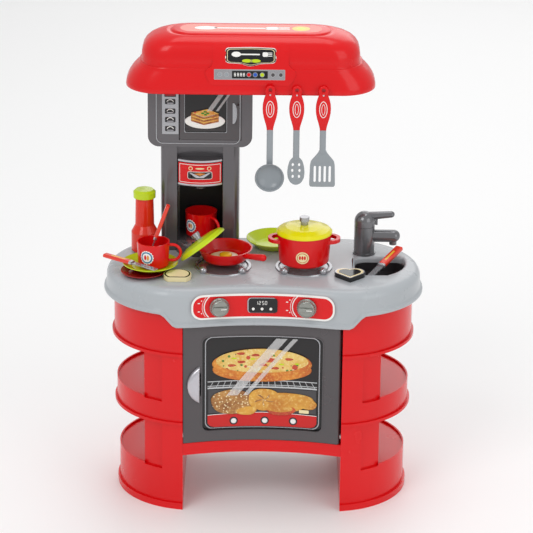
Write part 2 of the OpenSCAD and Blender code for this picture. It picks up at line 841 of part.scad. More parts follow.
module tap_lever() {
    color(dark_grey_c) translate([tap_at[0], tap_at[1], top_z + tap_h]) {
        cylinder(r = tap_r, h = 6);
        translate([0, 0, 6 - eps]) rotate_extrude() intersection() {
            circle(tap_r);
            square(40);
        }
        hull() {
            translate([0, 0, 13]) sphere(6, $fn = 32);
            translate([36, 0, 16]) sphere(4.5, $fn = 32);
        }
    }
    color(black_c) translate([tap_at[0] + 16, tap_at[1], top_z + tap_h + 1]) cylinder(r = 1.8, h = 9);
}

// ---- loose pieces ----

// open vessel: outer radius r0 at the foot and r1 at the rim
module vessel(r0, r1, h, t) {
    rotate_extrude() polygon([[0, 0], [r0 - 2, 0], [r0, 2], [r1, h], [r1 - t, h], [r0 - t, 2 + t],
        [r0 - t - 2, t], [0, t]]);
}

module pot() {
    color(red_c) translate([pot_at[0], pot_at[1], ware_z]) {
        vessel(pot_r - 3, pot_r, pot_h, ware_wall);
        // a flat loop on each side
        for (a = [0, 180]) rotate([0, 0, a]) translate([0, 0, pot_h - 12]) difference() {
            translate([pot_r - 3.5, 0, 0]) cylinder(r = 15.5, h = 5);
            translate([pot_r - 3.5, 0, -1]) cylinder(r = 10.5, h = 7);
            translate([0, 0, -1]) cylinder(r = pot_r - 2, h = 7);
        }
    }
}

module pot_lid() {
    z = ware_z + pot_h + rest_gap;
    color(lime_c) translate([pot_at[0], pot_at[1], z]) rotate_extrude() polygon([[0, 8], [12, 7.6], [24, 6],
        [32, 3.2], [pot_r + 1, 0], [pot_r + 1, 2], [34, 5], [25, 8.2], [13, 10], [0, 10.4]]);
}

module pot_lid_knob() {
    z = ware_z + pot_h + rest_gap;
    color(silver_c) translate([pot_at[0], pot_at[1], z + 10.4]) {
        cylinder(r = 5, h = 6);
        translate([0, 0, 5]) cylinder(r = 6.6, h = 6);
    }
}

module frying_pan() {
    color(red_c) translate([pan_at[0], pan_at[1], ware_z]) {
        vessel(pan_r - 7, pan_r, pan_h, ware_wall);
        // handle, to the right and towards the front
        rotate([0, 0, -38]) hull() {
            translate([pan_r - 1, 0, pan_h - 4]) sphere(3.5, $fn = 32);
            translate([pan_r + 28, 0, pan_h + 0.5]) sphere(4.8, $fn = 32);
        }
    }
}

// white disc with a yolk, resting in the pan
module fried_egg() {
    color(cream_c) translate([pan_at[0] - 1, pan_at[1] - 2, ware_z + ware_wall + rest_gap]) {
        cylinder(r = 19, h = 2);
        translate([0, 0, 1]) rotate_extrude() intersection() {
            translate([0, -4]) circle(8.5);
            square([20, 10]);
        }
    }
}

// the pan's lid leans against its rim: its edge stands on the worktop
module at_pan_lid() {
    translate([-82.5, -14, top_z + 31.2]) rotate([0, -38, 0]) rotate([-12, 0, 0]) children();
}

module pan_lid() {
    color(lime_c) at_pan_lid() rotate_extrude() polygon([[0, 6], [20, 4.6], [31, 2], [pan_r - 1, -2],
        [pan_r - 1, 0.4], [32, 4.4], [21, 7], [0, 8.4]]);
}

module pan_lid_knob() {
    color(silver_c) at_pan_lid() translate([0, 0, 8.4]) {
        cylinder(r = 4.5, h = 5);
        translate([0, 0, 4]) cylinder(r = 6, h = 5);
    }
}

module bottle() {
    h = bottle_h - 5;
    neck = 12;
    color(red_c) translate([bottle_at[0], bottle_at[1], top_z + rest_gap]) rotate_extrude() polygon([[0, 0],
        [bottle_r - 2, 0], [bottle_r, 2], [bottle_r, 28], [neck + 1, 38], [neck, h], [neck - ware_wall, h],
        [neck - ware_wall, 38], [bottle_r - ware_wall, 27], [bottle_r - ware_wall, 3], [0, 2]]);
}

module bottle_cap() {
    h = bottle_h - 5;
    color(lime_c) translate([bottle_at[0], bottle_at[1], top_z + rest_gap + h - 6]) rotate_extrude()
        polygon([[12.4, 0], [15, 0], [15.2, 8], [12, 11], [0, 11.4], [0, 6 + rest_gap], [12.4, 6 + rest_gap]]);
}

module mug(angle) {
    color(red_c) {
        vessel(mug_r - 1.2, mug_r, mug_h, ware_wall);
        // loop handle: half a ring on two short arms
        rotate([0, 0, angle]) translate([mug_r + 3.5, 0, mug_h / 2 + 1]) rotate([90, 0, 0]) {
            rotate([0, 0, -90]) rotate_extrude(angle = 180) translate([loop_r, 0]) circle(loop_t, $fn = 24);
            for (s = [-1, 1]) translate([-5, s * loop_r, 0]) rotate([0, 90, 0]) cylinder(r = loop_t, h = 5 + eps, $fn = 24);
        }
    }
}

module mug_front() translate([mug_f_at[0], mug_f_at[1], mug_f_z]) mug(0);
module mug_rear() translate([mug_r_at[0], mug_r_at[1], mug_r_z]) mug(-48);

module plate(r, h) {
    rotate_extrude() polygon([[0, 0], [r * flat_share, 0], [r, h - 1.2], [r, h], [r * flat_share, ware_wall],
        [0, ware_wall]]);
}

module plate_red() color(deep_red_c) translate([red_at[0], red_at[1], red_z]) plate(red_r, red_h);
module plate_green() color(lime_c) translate([green_at[0], green_at[1], green_z]) plate(plate_r, 8);
module plate_rear() color(lime_c) translate([rear_at[0], rear_at[1], top_z + rest_gap]) plate(plate_r + 1, 12);

// table knife: handle from the origin along +X, then the blade
module knife(handle, blade, wide, thick) {
    color(red_c) rotate([0, 90, 0]) linear_extrude(handle) rrect(thick, wide, 2);
    color(silver_c) translate([handle, -wide / 2 + 1, -0.8]) cube([blade, wide - 2, 1.6]);
}

module knife_in_mug() translate([mug_f_at[0] - 9, mug_f_at[1] + 3, mug_f_z + 4.3]) rotate([0, -70, 0])
    translate([84, 0, 0]) rotate([0, 180, 0]) knife(51, 31, 9, 5);
module knife_on_plate() translate([-212, -22, green_z + 11.2]) rotate([0, 0, -37]) knife(48, 40, 9, 5);

// broad knife that lies across the sink
module cleaver() translate([184, 36, top_z + 10]) rotate([0, 0, -123]) rotate([0, 13, 0]) knife(50, 30, 11, 6);

module dish_round() {
    color(cream_c) translate([-114, -61, top_z + rest_gap]) linear_extrude(6) intersection() {
        circle(18.4);
        translate([-25, -14]) square([50, 50]);
    }
}

module dish_heart() {
    color(black_c) translate([115, -54, top_z + rest_gap]) linear_extrude(6) {
        rotate([0, 0, 45]) square([24, 24], center = true);
        for (s = [-1, 1]) rotate([0, 0, 45]) translate(s > 0 ? [12, 0] : [0, 12]) circle(12);
    }
}

// utensils hang in front of the brim, each from its own peg
module hang(i) {
    translate([peg_x + i * peg_gap, utensil_y, peg_z]) children();
}

module handle() {
    color(red_c) translate([0, 0, -24]) through(-2.2, 2.2) difference() {
        union() {
            intersection() {
                translate([-22, 0]) circle(32);
                translate([22, 0]) circle(32);
                translate([-20, -26]) square([40, 46]);
            }
            translate([0, 22]) circle(6.5);
        }
        translate([0, 24]) circle(hole_r);
    }
}

module ladle() hang(-1) {
    handle();
    color(silver_c) {
        translate([-3.6, -1.4, -104]) cube([7.2, 2.8, 64]);
        // bowl, open to the front
        translate([0, 6, -115]) rotate([90, 0, 0]) rotate_extrude() intersection() {
            difference() {
                translate([0, 11.4]) circle(20);
                translate([0, 11.4]) circle(20 - ware_wall);
            }
            translate([0, -20]) square([19, 28]);
        }
    }
}

module slotted_spoon() hang(0) {
    handle();
    color(silver_c) {
        translate([-3.6, -1.4, -92]) cube([7.2, 2.8, 52]);
        translate([0, 0, -108]) through(-1.2, 1.2) difference() {
            union() {
                translate([0, -6]) circle(12);
                translate([0, 8]) circle(10);
            }
            for (sx = [-1, 1], i = [0:2]) translate([sx * 4, i * 6 - 11]) circle(1.7);
        }
    }
}

module spatula() hang(1) {
    handle();
    color(silver_c) {
        translate([-3.6, -1.4, -84]) cube([7.2, 2.8, 44]);
        translate([0, 0, -107]) through(-1.1, 1.1) difference() {
            union() {
                translate([0, -6]) rrect(34, 36, 4);
                polygon([[-3.6, 27], [3.6, 27], [16, 11], [-16, 11]]);
            }
            for (i = [-1.5:1:1.5]) translate([i * 7, -7]) square([3, 22], center = true);
        }
    }
}

cabinet_left();
cabinet_right();
front_rail();
oven_liner();
worktop();
sink_bowl();
burner_left();
burner_right();
control_panel();
clock();
column();
column_back();
rear_screws();
coffee_head();
coffee_nozzle();
drip_tray();
microwave_housing();
microwave_keypad();
hood_brim();
hood_dome();
hood_plate();
utensil_pegs();
tap_body();
oven_door();
oven_window();
oven_handle();
oven_hinge_pins();
microwave_door();
microwave_window();
microwave_pins();
knob_left();
knob_left_clip();
knob_right();
knob_right_clip();
tap_lever();
pot();
pot_lid();
pot_lid_knob();
frying_pan();
fried_egg();
pan_lid();
pan_lid_knob();
bottle();
bottle_cap();
mug_front();
mug_rear();
plate_red();
plate_green();
plate_rear();
knife_in_mug();
knife_on_plate();
cleaver();
dish_round();
dish_heart();
ladle();
slotted_spoon();
spatula();
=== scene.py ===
# Toy kitchen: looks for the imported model. Lengths in the helpers are in millimetres.
import math
import bpy
import bmesh
from mathutils import Vector, Matrix, Euler


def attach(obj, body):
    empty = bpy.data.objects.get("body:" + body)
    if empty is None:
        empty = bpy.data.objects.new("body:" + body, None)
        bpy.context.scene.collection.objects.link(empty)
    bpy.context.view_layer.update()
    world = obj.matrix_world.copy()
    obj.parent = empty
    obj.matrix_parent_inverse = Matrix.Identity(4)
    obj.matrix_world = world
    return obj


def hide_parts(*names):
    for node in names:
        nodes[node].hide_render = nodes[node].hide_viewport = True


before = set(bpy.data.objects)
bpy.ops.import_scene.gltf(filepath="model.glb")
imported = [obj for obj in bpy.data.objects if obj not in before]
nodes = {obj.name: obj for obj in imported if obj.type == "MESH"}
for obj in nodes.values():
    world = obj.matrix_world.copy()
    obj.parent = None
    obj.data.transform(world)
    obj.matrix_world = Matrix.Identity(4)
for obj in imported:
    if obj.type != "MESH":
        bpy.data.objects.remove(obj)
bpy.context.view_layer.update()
mm = 0.001

# camera, light, floor
cameraSet = {"place": (0.00395, -3.3829, 1.5979), "pitch": 20.8, "roll": 0.6, "lens": 181.3, "sensor": 36.0}


def makeCamera():
    data = bpy.data.cameras.new("camera")
    data.lens, data.sensor_width = cameraSet["lens"], cameraSet["sensor"]
    data.clip_start, data.clip_end = 0.05, 60
    cam = bpy.data.objects.new("camera", data)
    tilt = Euler((math.radians(90 - cameraSet["pitch"]), 0, 0)).to_matrix()
    roll = Matrix.Rotation(math.radians(cameraSet["roll"]), 3, "Z")
    cam.matrix_world = Matrix.Translation(cameraSet["place"]) @ (tilt @ roll).to_4x4()
    bpy.context.scene.collection.objects.link(cam)
    bpy.context.scene.camera = cam


lightSet = {
    "key": {"at": (-1.7, -2.4, 2.9), "size": 1.7, "power": 34, "tint": (1, 1, 1)},
    "fill": {"at": (2.4, -2.3, 1.5), "size": 2.2, "power": 20, "tint": (1, 1, 1)},
    "top": {"at": (0.1, 0.4, 3.0), "size": 1.6, "power": 18, "tint": (1, 1, 1)},
    "back": {"at": (0.6, 2.6, 1.8), "size": 2.0, "power": 14, "tint": (1, 1, 1)},
}


def makeLights():
    aim = Vector((0, 0, 0.3))
    for name, one in lightSet.items():
        data = bpy.data.lights.new("light_" + name, "AREA")
        data.shape, data.size, data.energy, data.color = "SQUARE", one["size"], one["power"], one["tint"]
        lamp = bpy.data.objects.new("light_" + name, data)
        lamp.location = one["at"]
        lamp.rotation_euler = (aim - Vector(one["at"])).to_track_quat("-Z", "Y").to_euler()
        bpy.context.scene.collection.objects.link(lamp)
    world = bpy.data.worlds.new("studio")
    world.use_nodes = True
    world.node_tree.nodes["Background"].inputs[0].default_value = (1, 1, 1, 1)
    world.node_tree.nodes["Background"].inputs[1].default_value = 0.62
    bpy.context.scene.world = world
    bpy.context.scene.view_settings.view_transform = "Standard"


# shader writing
class Wire:
    # a socket that can be used in plain sums
    def __init__(self, maker, socket):
        self.maker, self.socket = maker, socket

    def sum(self, kind, a, b):
        return self.maker.add("ShaderNodeMath", {"operation": kind}, {0: a, 1: b})[0]

    def __add__(self, other):
        return self.sum("ADD", self, other)

    def __radd__(self, other):
        return self.sum("ADD", other, self)

    def __sub__(self, other):
        return self.sum("SUBTRACT", self, other)

    def __rsub__(self, other):
        return self.sum("SUBTRACT", other, self)

    def __mul__(self, other):
        return self.sum("MULTIPLY", self, other)

    def __rmul__(self, other):
        return self.sum("MULTIPLY", other, self)

    def __gt__(self, other):
        return self.sum("GREATER_THAN", self, other)

    def __lt__(self, other):
        return self.sum("LESS_THAN", self, other)

    def __pow__(self, other):
        return self.sum("POWER", self, other)


class Maker:
    def __init__(self, name):
        self.material = bpy.data.materials.new(name)
        self.material.use_nodes = True
        self.tree = self.material.node_tree
        self.shader = self.tree.nodes["Principled BSDF"]
        self.output = self.tree.nodes["Material Output"]

    def add(self, kind, settings=None, values=None):
        node = self.tree.nodes.new(kind)
        for key, value in (settings or {}).items():
            if key == "stops":
                ramp = node.color_ramp.elements
                for i, (at, colour) in enumerate(value):
                    spot = ramp[i] if i < 2 else ramp.new(at)
                    spot.position, spot.color = at, colour
            else:
                setattr(node, key, value)
        for key, value in (values or {}).items():
            self.put(node.inputs[key], value)
        return [Wire(self, s) for s in node.outputs if s.enabled]

    def put(self, socket, value):
        if isinstance(value, Wire):
            self.tree.links.new(value.socket, socket)
        else:
            socket.default_value = value

    def set(self, **values):
        for key, value in values.items():
            self.put(self.shader.inputs[key.replace("_", " ")], value)

    def mix(self, share, a, b):
        node = self.tree.nodes.new("ShaderNodeMix")
        node.data_type = "RGBA"
        for i, value in ((0, share), (6, a), (7, b)):
            self.put(node.inputs[i], value)
        return Wire(self, node.outputs[2])

    def noise(self, scale, detail=3.0, place=None, rough=0.5):
        place = place or self.place()
        return self.add("ShaderNodeTexNoise", {}, {"Vector": place, "Scale": scale, "Detail": detail,
            "Roughness": rough})[0]

    def place(self, kind="Object"):
        node = self.tree.nodes.new("ShaderNodeTexCoord")
        return Wire(self, node.outputs[kind])

    def bump(self, height, strength, distance):
        out = self.add("ShaderNodeBump", {}, {"Height": height, "Strength": strength,
            "Distance": distance})[0]
        self.put(self.shader.inputs["Normal"], out)


def linear(colour):
    out = [c / 12.92 if c <= 0.04045 else ((c + 0.055) / 1.055) ** 2.4 for c in [v / 255 for v in colour[:3]]]
    return (*out, 1.0)


materials = {}


def plastic(name, colour, rough=0.22, grain=0.05, coat=0.5, shift=0.06, metal=0.0, grainSize=420, speck=0.0):
    m = Maker(name)
    base = linear(colour)
    cloud = m.noise(9, 2)
    darker = (*[c * (1 - shift) for c in base[:3]], 1)
    lighter = (*[min(1, c * (1 + shift) + 0.004) for c in base[:3]], 1)
    tone = m.mix(cloud, darker, lighter)
    fine = m.noise(grainSize, 2)
    if speck:
        tone = m.mix((fine > 0.6) * speck, tone, (*[min(1, c * 1.6 + 0.1) for c in base[:3]], 1))
    wear = m.noise(26, 5)
    m.set(Base_Color=tone, Roughness=rough * 0.85 + wear * rough * 0.3, Metallic=metal,
        Coat_Weight=coat * 0.5)
    m.set(Coat_Roughness=0.06, IOR=1.38)
    m.bump(fine + wear * 2.0, grain, 0.0004)
    materials[name] = m.material
    return m.material


plastic("redGloss", (222, 2, 10), 0.26, 0.05, 0.25)
plastic("redWare", (220, 4, 8), 0.2, 0.03, 0.3)
plastic("orangeWare", (226, 42, 18), 0.2, 0.03, 0.5)
plastic("deepRed", (150, 10, 14), 0.2, 0.03, 0.5)
plastic("paleGrey", (176, 181, 185), 0.28, 0.06, 0.35, 0.03)
plastic("darkGrey", (88, 84, 86), 0.26, 0.05, 0.4, 0.05, 0.35)
plastic("columnGrey", (104, 101, 104), 0.24, 0.04, 0.5, 0.05, 0.55)
# dark grey for the keys; in the sink bowl the same grey is painted shade
plastic("insideDark", (42, 40, 42), 0.4, 0.05, 0.2)
plastic("blackGloss", (14, 14, 16), 0.12, 0.02, 0.6)
plastic("silver", (172, 172, 176), 0.24, 0.04, 0.5, 0.05, 0.75)
plastic("chromeLike", (205, 205, 208), 0.12, 0.02, 0.5, 0.03, 0.95)
plastic("steel", (190, 190, 192), 0.3, 0.08, 0.0, 0.04, 1.0)
plastic("lime", (196, 220, 24), 0.22, 0.03, 0.5)
plastic("yellowLid", (232, 224, 0), 0.18, 0.03, 0.5)
plastic("utensilGrey", (150, 156, 161), 0.26, 0.04, 0.4)
plastic("whitePaint", (244, 242, 238), 0.3, 0.02, 0.3)
plastic("cream", (240, 226, 176), 0.4, 0.03, 0.2)
plastic("yolk", (244, 190, 20), 0.2, 0.03, 0.5)
plastic("eggWhite", (250, 246, 226), 0.25, 0.03, 0.5)
plastic("tapGrey", (118, 118, 121), 0.2, 0.04, 0.5, 0.05, 0.5)

wear = {
    "redGloss": "cabinet_left cabinet_right front_rail control_panel hood_brim hood_dome hood_plate "
                "utensil_pegs",
    "paleGrey": "worktop",
    # painted shade: the deep sink bowl is coloured dark grey for the shade inside it
    "insideDark": "oven_liner sink_bowl",
    "columnGrey": "column column_back coffee_head coffee_nozzle microwave_housing",
    "darkGrey": "oven_door microwave_door",
    "tapGrey": "tap_body tap_lever",
    "blackGloss": "clock oven_window microwave_window dish_heart",
    "silver": "burner_left burner_right drip_tray microwave_keypad oven_handle knob_left knob_right "
              "knob_left_clip knob_right_clip pot_lid_knob pan_lid_knob",
    "steel": "rear_screws oven_hinge_pins microwave_pins",
    "redWare": "pot frying_pan mug_front mug_rear",
    "orangeWare": "bottle",
    "yellowLid": "pot_lid",
    "lime": "pan_lid bottle_cap plate_green plate_rear",
    "deepRed": "plate_red",
    "cream": "fried_egg dish_round",
    "utensilGrey": "ladle slotted_spoon spatula knife_in_mug knife_on_plate cleaver",
}
bevelWidth = {"redGloss": 0.8, "paleGrey": 1.0, "columnGrey": 0.8, "darkGrey": 0.7, "silver": 0.5,
    "tapGrey": 0.6}
for finish, names in wear.items():
    for n in names.split():
        piece = nodes[n]
        piece.data.materials.clear()
        piece.data.materials.append(materials[finish])
        edge = piece.modifiers.new("edge", "BEVEL")
        edge.width, edge.segments = bevelWidth.get(finish, 0.4) * mm, 2
        edge.limit_method, edge.angle_limit = "ANGLE", math.radians(38)
        edge.harden_normals = False
print("materials on the carried nodes: done")


# mesh helpers
def addPiece(name, verts, faces, finish, body, slot, replaced=(), smooth=True, bevel=0.0, subdivide=0,
    angle=40):
    mesh = bpy.data.meshes.new(name)
    mesh.from_pydata([Vector(v) * mm for v in verts], [], faces)
    work = bmesh.new()
    work.from_mesh(mesh)
    bmesh.ops.remove_doubles(work, verts=work.verts, dist=1e-6)
    bmesh.ops.recalc_face_normals(work, faces=work.faces)
    work.to_mesh(mesh)
    work.free()
    return finishPiece(name, mesh, finish, body, slot, replaced, smooth, bevel, subdivide, angle)


def finishPiece(name, mesh, finish, body, slot, replaced=(), smooth=True, bevel=0.0, subdivide=0, angle=40):
    piece = bpy.data.objects.new(name, mesh)
    bpy.context.scene.collection.objects.link(piece)
    for one in ([finish] if isinstance(finish, str) else finish):
        mesh.materials.append(materials[one])
    if bevel:
        edge = piece.modifiers.new("edge", "BEVEL")
        edge.width = bevel * mm
        edge.segments = 3
        edge.limit_method = "ANGLE"
        edge.angle_limit = math.radians(35)
    if subdivide:
        sub = piece.modifiers.new("sub", "SUBSURF")
        sub.levels = sub.render_levels = subdivide
    mesh.shade_smooth()
    if smooth and not subdivide:
        mesh.set_sharp_from_angle(angle=math.radians(angle))
    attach(piece, body)
    if replaced:
        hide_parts(*replaced)
    return piece


def fillet(points, radius, steps=5, closed=False):
    # rounds the corners of a line of points; radius may be one number or one for each point
    count = len(points)
    radii = radius if isinstance(radius, (list, tuple)) else [radius] * count
    out = []
    for i, p in enumerate(points):
        if not closed and i in (0, count - 1) or radii[i] <= 0:
            out.append(tuple(p))
            continue
        a, b, p = Vector(points[i - 1]), Vector(points[(i + 1) % count]), Vector(p)
        la, lb = (a - p).length, (b - p).length
        cut = min(radii[i], la * 0.49, lb * 0.49)
        p0, p1 = p + (a - p) * (cut / la), p + (b - p) * (cut / lb)
        for k in range(steps + 1):
            t = k / steps
            out.append(tuple(p0 * (1 - t) ** 2 + p * 2 * t * (1 - t) + p1 * t * t))
    return out


def quads(rows, n):
    # faces between closed rings of n points each
    return [(i * n + k, i * n + (k + 1) % n, (i + 1) * n + (k + 1) % n, (i + 1) * n + k)
            for i in range(rows) for k in range(n)]


def loft(name, rings, finish, body, slot, capEnds=(True, True), **more):
    # joins closed rings of equal length, given as lists of points
    verts, faces, n = [], [], len(rings[0])
    for ring in rings:
        verts += ring
    faces += quads(len(rings) - 1, n)
    if capEnds[0]:
        faces.append(tuple(range(n)))
    if capEnds[1]:
        faces.append(tuple(range(len(verts) - n, len(verts))))
    return addPiece(name, verts, faces, finish, body, slot, **more)


def lathe(name, profile, at, finish, body, slot, turns=72, turn=None, **more):
    # turns a profile of (radius, height) about the upright axis through at
    verts, faces = [], []
    n = len(profile)
    for k in range(turns):
        a = 2 * math.pi * k / turns
        for r, z in profile:
            v = Vector((r * math.cos(a), r * math.sin(a), z))
            verts.append((turn @ v if turn else v) + Vector(at))
    for k in range(turns):
        for i in range(n - 1):
            a, b = k * n + i, ((k + 1) % turns) * n + i
            faces.append((a, b, b + 1, a + 1))
    return addPiece(name, verts, faces, finish, body, slot, **more)


def tube(name, path, size, finish, body, slot, sides=20, up=(0, 0, 1), **more):
    # sweeps an oval along a path; size gives (across, up) half widths for each point
    rings = []
    path = [Vector(p) for p in path]
    for i, p in enumerate(path):
        along = (path[min(i + 1, len(path) - 1)] - path[max(i - 1, 0)]).normalized()
        side = along.cross(Vector(up)).normalized()
        top = side.cross(along)
        w, h = size[i] if isinstance(size, list) else size
        rings.append([p + side * w * math.cos(2 * math.pi * k / sides)
                      + top * h * math.sin(2 * math.pi * k / sides)
                      for k in range(sides)])
    return loft(name, rings, finish, body, slot, **more)


def roundRect(w, h, r, at=(0, 0), steps=6):
    x, y, pts = w / 2, h / 2, []
    for cx, cy, a0 in ((x - r, y - r, 0), (-x + r, y - r, 90), (-x + r, -y + r, 180), (x - r, -y + r, 270)):
        for k in range(steps + 1):
            a = math.radians(a0 + 90 * k / steps)
            pts.append((at[0] + cx + r * math.cos(a), at[1] + cy + r * math.sin(a)))
    return pts


def oval(rx, ry, at=(0, 0), steps=40, start=0, end=360):
    full = end - start >= 360
    count = steps if full else steps + 1
    return [(at[0] + rx * math.cos(math.radians(start + (end - start) * k / steps)),
             at[1] + ry * math.sin(math.radians(start + (end - start) * k / steps))) for k in range(count)]


def arcStrip(r, wide, at, start, end, steps=20):
    outer = oval(r + wide / 2, r + wide / 2, at, steps, start, end)
    inner = oval(r - wide / 2, r - wide / 2, at, steps, start, end)
    return outer + inner[::-1]


def flatOn(y):
    return lambda u, v, d: (u, y - d, v)


def arcOn(centre, radius):
    # hollow arc open to the front, seen from the front
    return lambda u, v, d: (u, centre + math.sqrt(radius ** 2 - u * u) - d, v)


def drumOn(x0, y0, radius, facing=-90, z0=0):
    # round the outside of a drum, u measured along its skin from the facing direction
    def place(u, v, d):
        a = math.radians(facing) + u / radius
        return (x0 + (radius + d) * math.cos(a), y0 + (radius + d) * math.sin(a), z0 + v)
    return place


def blob(name, centre, size, finish, body, slot, lumps=0.0, seed=0.0, flat=0.35, sides=28, place=None):
    # a soft dome-shaped form that lies on a surface, such as a bread roll
    verts, faces = [], []
    rows = 9
    for i in range(-rows, rows + 1):
        t = i / rows * math.pi / 2
        for k in range(sides):
            a = 2 * math.pi * k / sides
            wob = 1 + lumps * (math.sin(3 * a + seed) * 0.6 + math.sin(5 * a + 2.3 * seed) * 0.4)
            u = centre[0] + size[0] * math.cos(t) * math.cos(a) * wob
            v = centre[1] + size[1] * math.cos(t) * math.sin(a) * wob
            verts.append(place(u, v, size[2] * max(0.0, math.sin(t)) ** flat))
    faces += quads(2 * rows, sides)
    return addPiece(name, verts, faces, finish, body, slot, angle=60)


# worktop
shape = {"wide": 430, "deep": 224, "top": 318, "sag": 15, "lipOut": 3.5, "sideHeight": 34, "frontHeight": 52,
         "dropIn": 114, "dropOut": 136, "ends": 103, "wallR": 108.5}
bow = (shape["ends"] ** 2 + shape["sag"] ** 2) / (2 * shape["sag"])
frontCentre = -shape["wallR"] + shape["sag"] - bow


def beanLine(r, steps=64):
    # outline of the worktop, anticlockwise, starting at the middle of the back
    cx, pts = shape["ends"], []
    c = -r + shape["sag"] - bow
    for k in range(17):
        pts.append((-cx * k / 16, r))
    for k in range(1, steps):
        a = math.radians(90 + 180 * k / steps)
        pts.append((-cx + r * math.cos(a), r * math.sin(a)))
    for k in range(49):
        x = -cx + 2 * cx * k / 48
        pts.append((x, c + math.sqrt(bow ** 2 - x * x)))
    for k in range(1, steps):
        a = math.radians(-90 + 180 * k / steps)
        pts.append((cx + r * math.cos(a), r * math.sin(a)))
    for k in range(17):
        pts.append((cx - cx * k / 16, r))
    pts = pts[:-1]
    # soften where the hollow front meets the round ends
    for _ in range(26):
        new = list(pts)
        for i, (x, y) in enumerate(pts):
            if y < -60 and 78 < abs(x) < 128:
                a, b = pts[i - 1], pts[(i + 1) % len(pts)]
                new[i] = ((a[0] + b[0] + 2 * x) / 4, (a[1] + b[1] + 2 * y) / 4)
        pts = new
    return [Vector(p) for p in pts]


def outward(line):
    out = []
    for i in range(len(line)):
        d = (line[(i + 1) % len(line)] - line[i - 1]).normalized()
        out.append(Vector((d.y, -d.x)))
    return out


def lowerEdge(x, y):
    side, front = shape["top"] - shape["sideHeight"], shape["top"] - shape["frontHeight"]
    if y > -60:
        return side
    t = (abs(x) - shape["dropIn"]) / (shape["dropOut"] - shape["dropIn"])
    return front if t <= 0 else side if t >= 1 else front + (side - front) * (1 - math.cos(math.pi * t)) / 2


def makeWorktop():
    line = beanLine(shape["wallR"])
    side = outward(line)
    if side[0].y < 0:
        side = [-s for s in side]
    top = shape["top"]
    # distance outward and height; the first five follow the lower edge
    low = [(-2.5, 3), (-2.5, 0.4), (0, 0), (2.6, 0), (3.4, 0.8), (3.5, 2.4), (3.1, 4.4), (1.9, 5.4), (0.7,
        6.2), (0.2, 8)]
    high = [(-0.6, top - 11.5), (-1.1, top - 9.5), (-2.0, top - 7.4), (-3.3, top - 5.2), (-5.0, top - 3.4),
            (-7.0, top - 2.0), (-9.4, top - 0.9), (-12.4, top - 0.25), (-15, top)]
    rings = []
    for out, rise in low:
        rings.append([(p.x + n.x * out, p.y + n.y * out, lowerEdge(p.x, p.y) + rise) for p, n in zip(line,
            side)])
    for share in (0.35, 0.7):
        rings.append([(p.x - n.x * 0.3, p.y - n.y * 0.3,
            (lowerEdge(p.x, p.y) + 8) * (1 - share) + (top - 12) * share)
                      for p, n in zip(line, side)])
    for out, z in high:
        rings.append([(p.x + n.x * out, p.y + n.y * out, z) for p, n in zip(line, side)])
    verts = [v for ring in rings for v in ring]
    n, faces = len(line), []
    faces += quads(len(rings) - 1, n)
    mesh = bpy.data.meshes.new("worktop_shell")
    mesh.from_pydata([Vector(v) * mm for v in verts], [], faces)
    work = bmesh.new()
    work.from_mesh(mesh)
    work.verts.ensure_lookup_table()
    outer = [work.verts[(len(rings) - 1) * n + k] for k in range(n)]
    edges = [work.edges.get((outer[k], outer[(k + 1) % n])) for k in range(n)]
    # sink opening with a rolled edge
    lips = [(0.0, top), (-2.2, top - 0.3), (-3.4, top - 1.4), (-3.8, top - 4), (-3.8, top - 9)]
    previous = None
    for out, z in lips:
        loop = [work.verts.new(Vector((x, y, z)) * mm) for x, y in sinkLine(3.8 + out)]
        m = len(loop)
        ring = [work.edges.new((loop[k], loop[(k + 1) % m])) for k in range(m)]
        if previous is None:
            edges += ring
        else:
            for k in range(m):
                work.faces.new((previous[k], previous[(k + 1) % m], loop[(k + 1) % m], loop[k]))
        previous = loop
    bmesh.ops.triangle_fill(work, edges=edges, use_beauty=True)
    bmesh.ops.recalc_face_normals(work, faces=work.faces)
    work.to_mesh(mesh)
    work.free()
    finishPiece("worktop_shell", mesh, "paleGrey", "kitchen", "grey_shell", ("worktop",), angle=60)


def sinkLine(grow=0.0):
    # half-round sink: straight side to the left, round to the right
    x0, y0, y1 = 123 - grow, -40 - grow, 27 + grow
    pts = []
    steps = 40
    cx, r = 131, 60 + grow
    for k in range(steps + 1):
        a = math.radians(-62 + 100 * k / steps)
        x, y = cx + r * math.cos(a), 10 + r * math.sin(a)
        if y0 <= y <= y1:
            pts.append((x, y))
    pts = [(x0, y0)] + [(pts[0][0], y0)] + pts + [(pts[-1][0], y1), (x0, y1)]
    return fillet(pts, [17] + [14] + [0] * (len(pts) - 4) + [14, 17], 6, closed=True)


makeWorktop()
print("worktop: done")

# hood
hood = {"x": -19.5, "y": 53.0, "low": 554.0,
        # width, depth, corner radius, height of each ring, from the inside of the brim round to the top
        "rings": [(226, 60, 28, 622), (280, 90, 36, 604), (284, 91, 36, 590), (312, 96, 40, 572), (325, 103,
            43, 558),
                  (327, 105, 44, 555.4), (329.5, 107.5, 45, 554.2), (331.4, 109.4, 46, 554.8), (332, 110, 46,
                  557),
                  (331.2, 109.4, 46, 561), (328, 108, 45.6, 566), (322.5, 106, 45.2, 571.5), (315, 104.2,
                  44.5, 577),
                  (306, 102.6, 43, 581.8), (299, 101.6, 42, 585), (296.4, 101.4, 41.4, 586.8), (295, 101.2,
                  41, 588.2),
                  (293.2, 100.2, 40.4, 588.9), (291, 98.8, 39.4, 588.9), (290, 98, 38.6, 590), (290, 98, 38.4,
                  597),
                  (288.8, 97.2, 38.2, 603.5), (285, 95, 37.6, 610), (278, 91, 36.6, 615.5), (268, 85.4, 35,
                  620),
                  (255, 78, 33, 623.6), (240, 69.5, 30.5, 626.2), (227, 62, 28.6, 627.8), (220, 58.4, 27.8,
                  628.3),
                  (216, 56.4, 27.4, 627.7), (213.4, 54.8, 27, 627.7), (211.6, 53.4, 26.4, 628.6), (210, 52,
                  25.9, 629.6),
                  (206, 49, 24.4, 630)]}


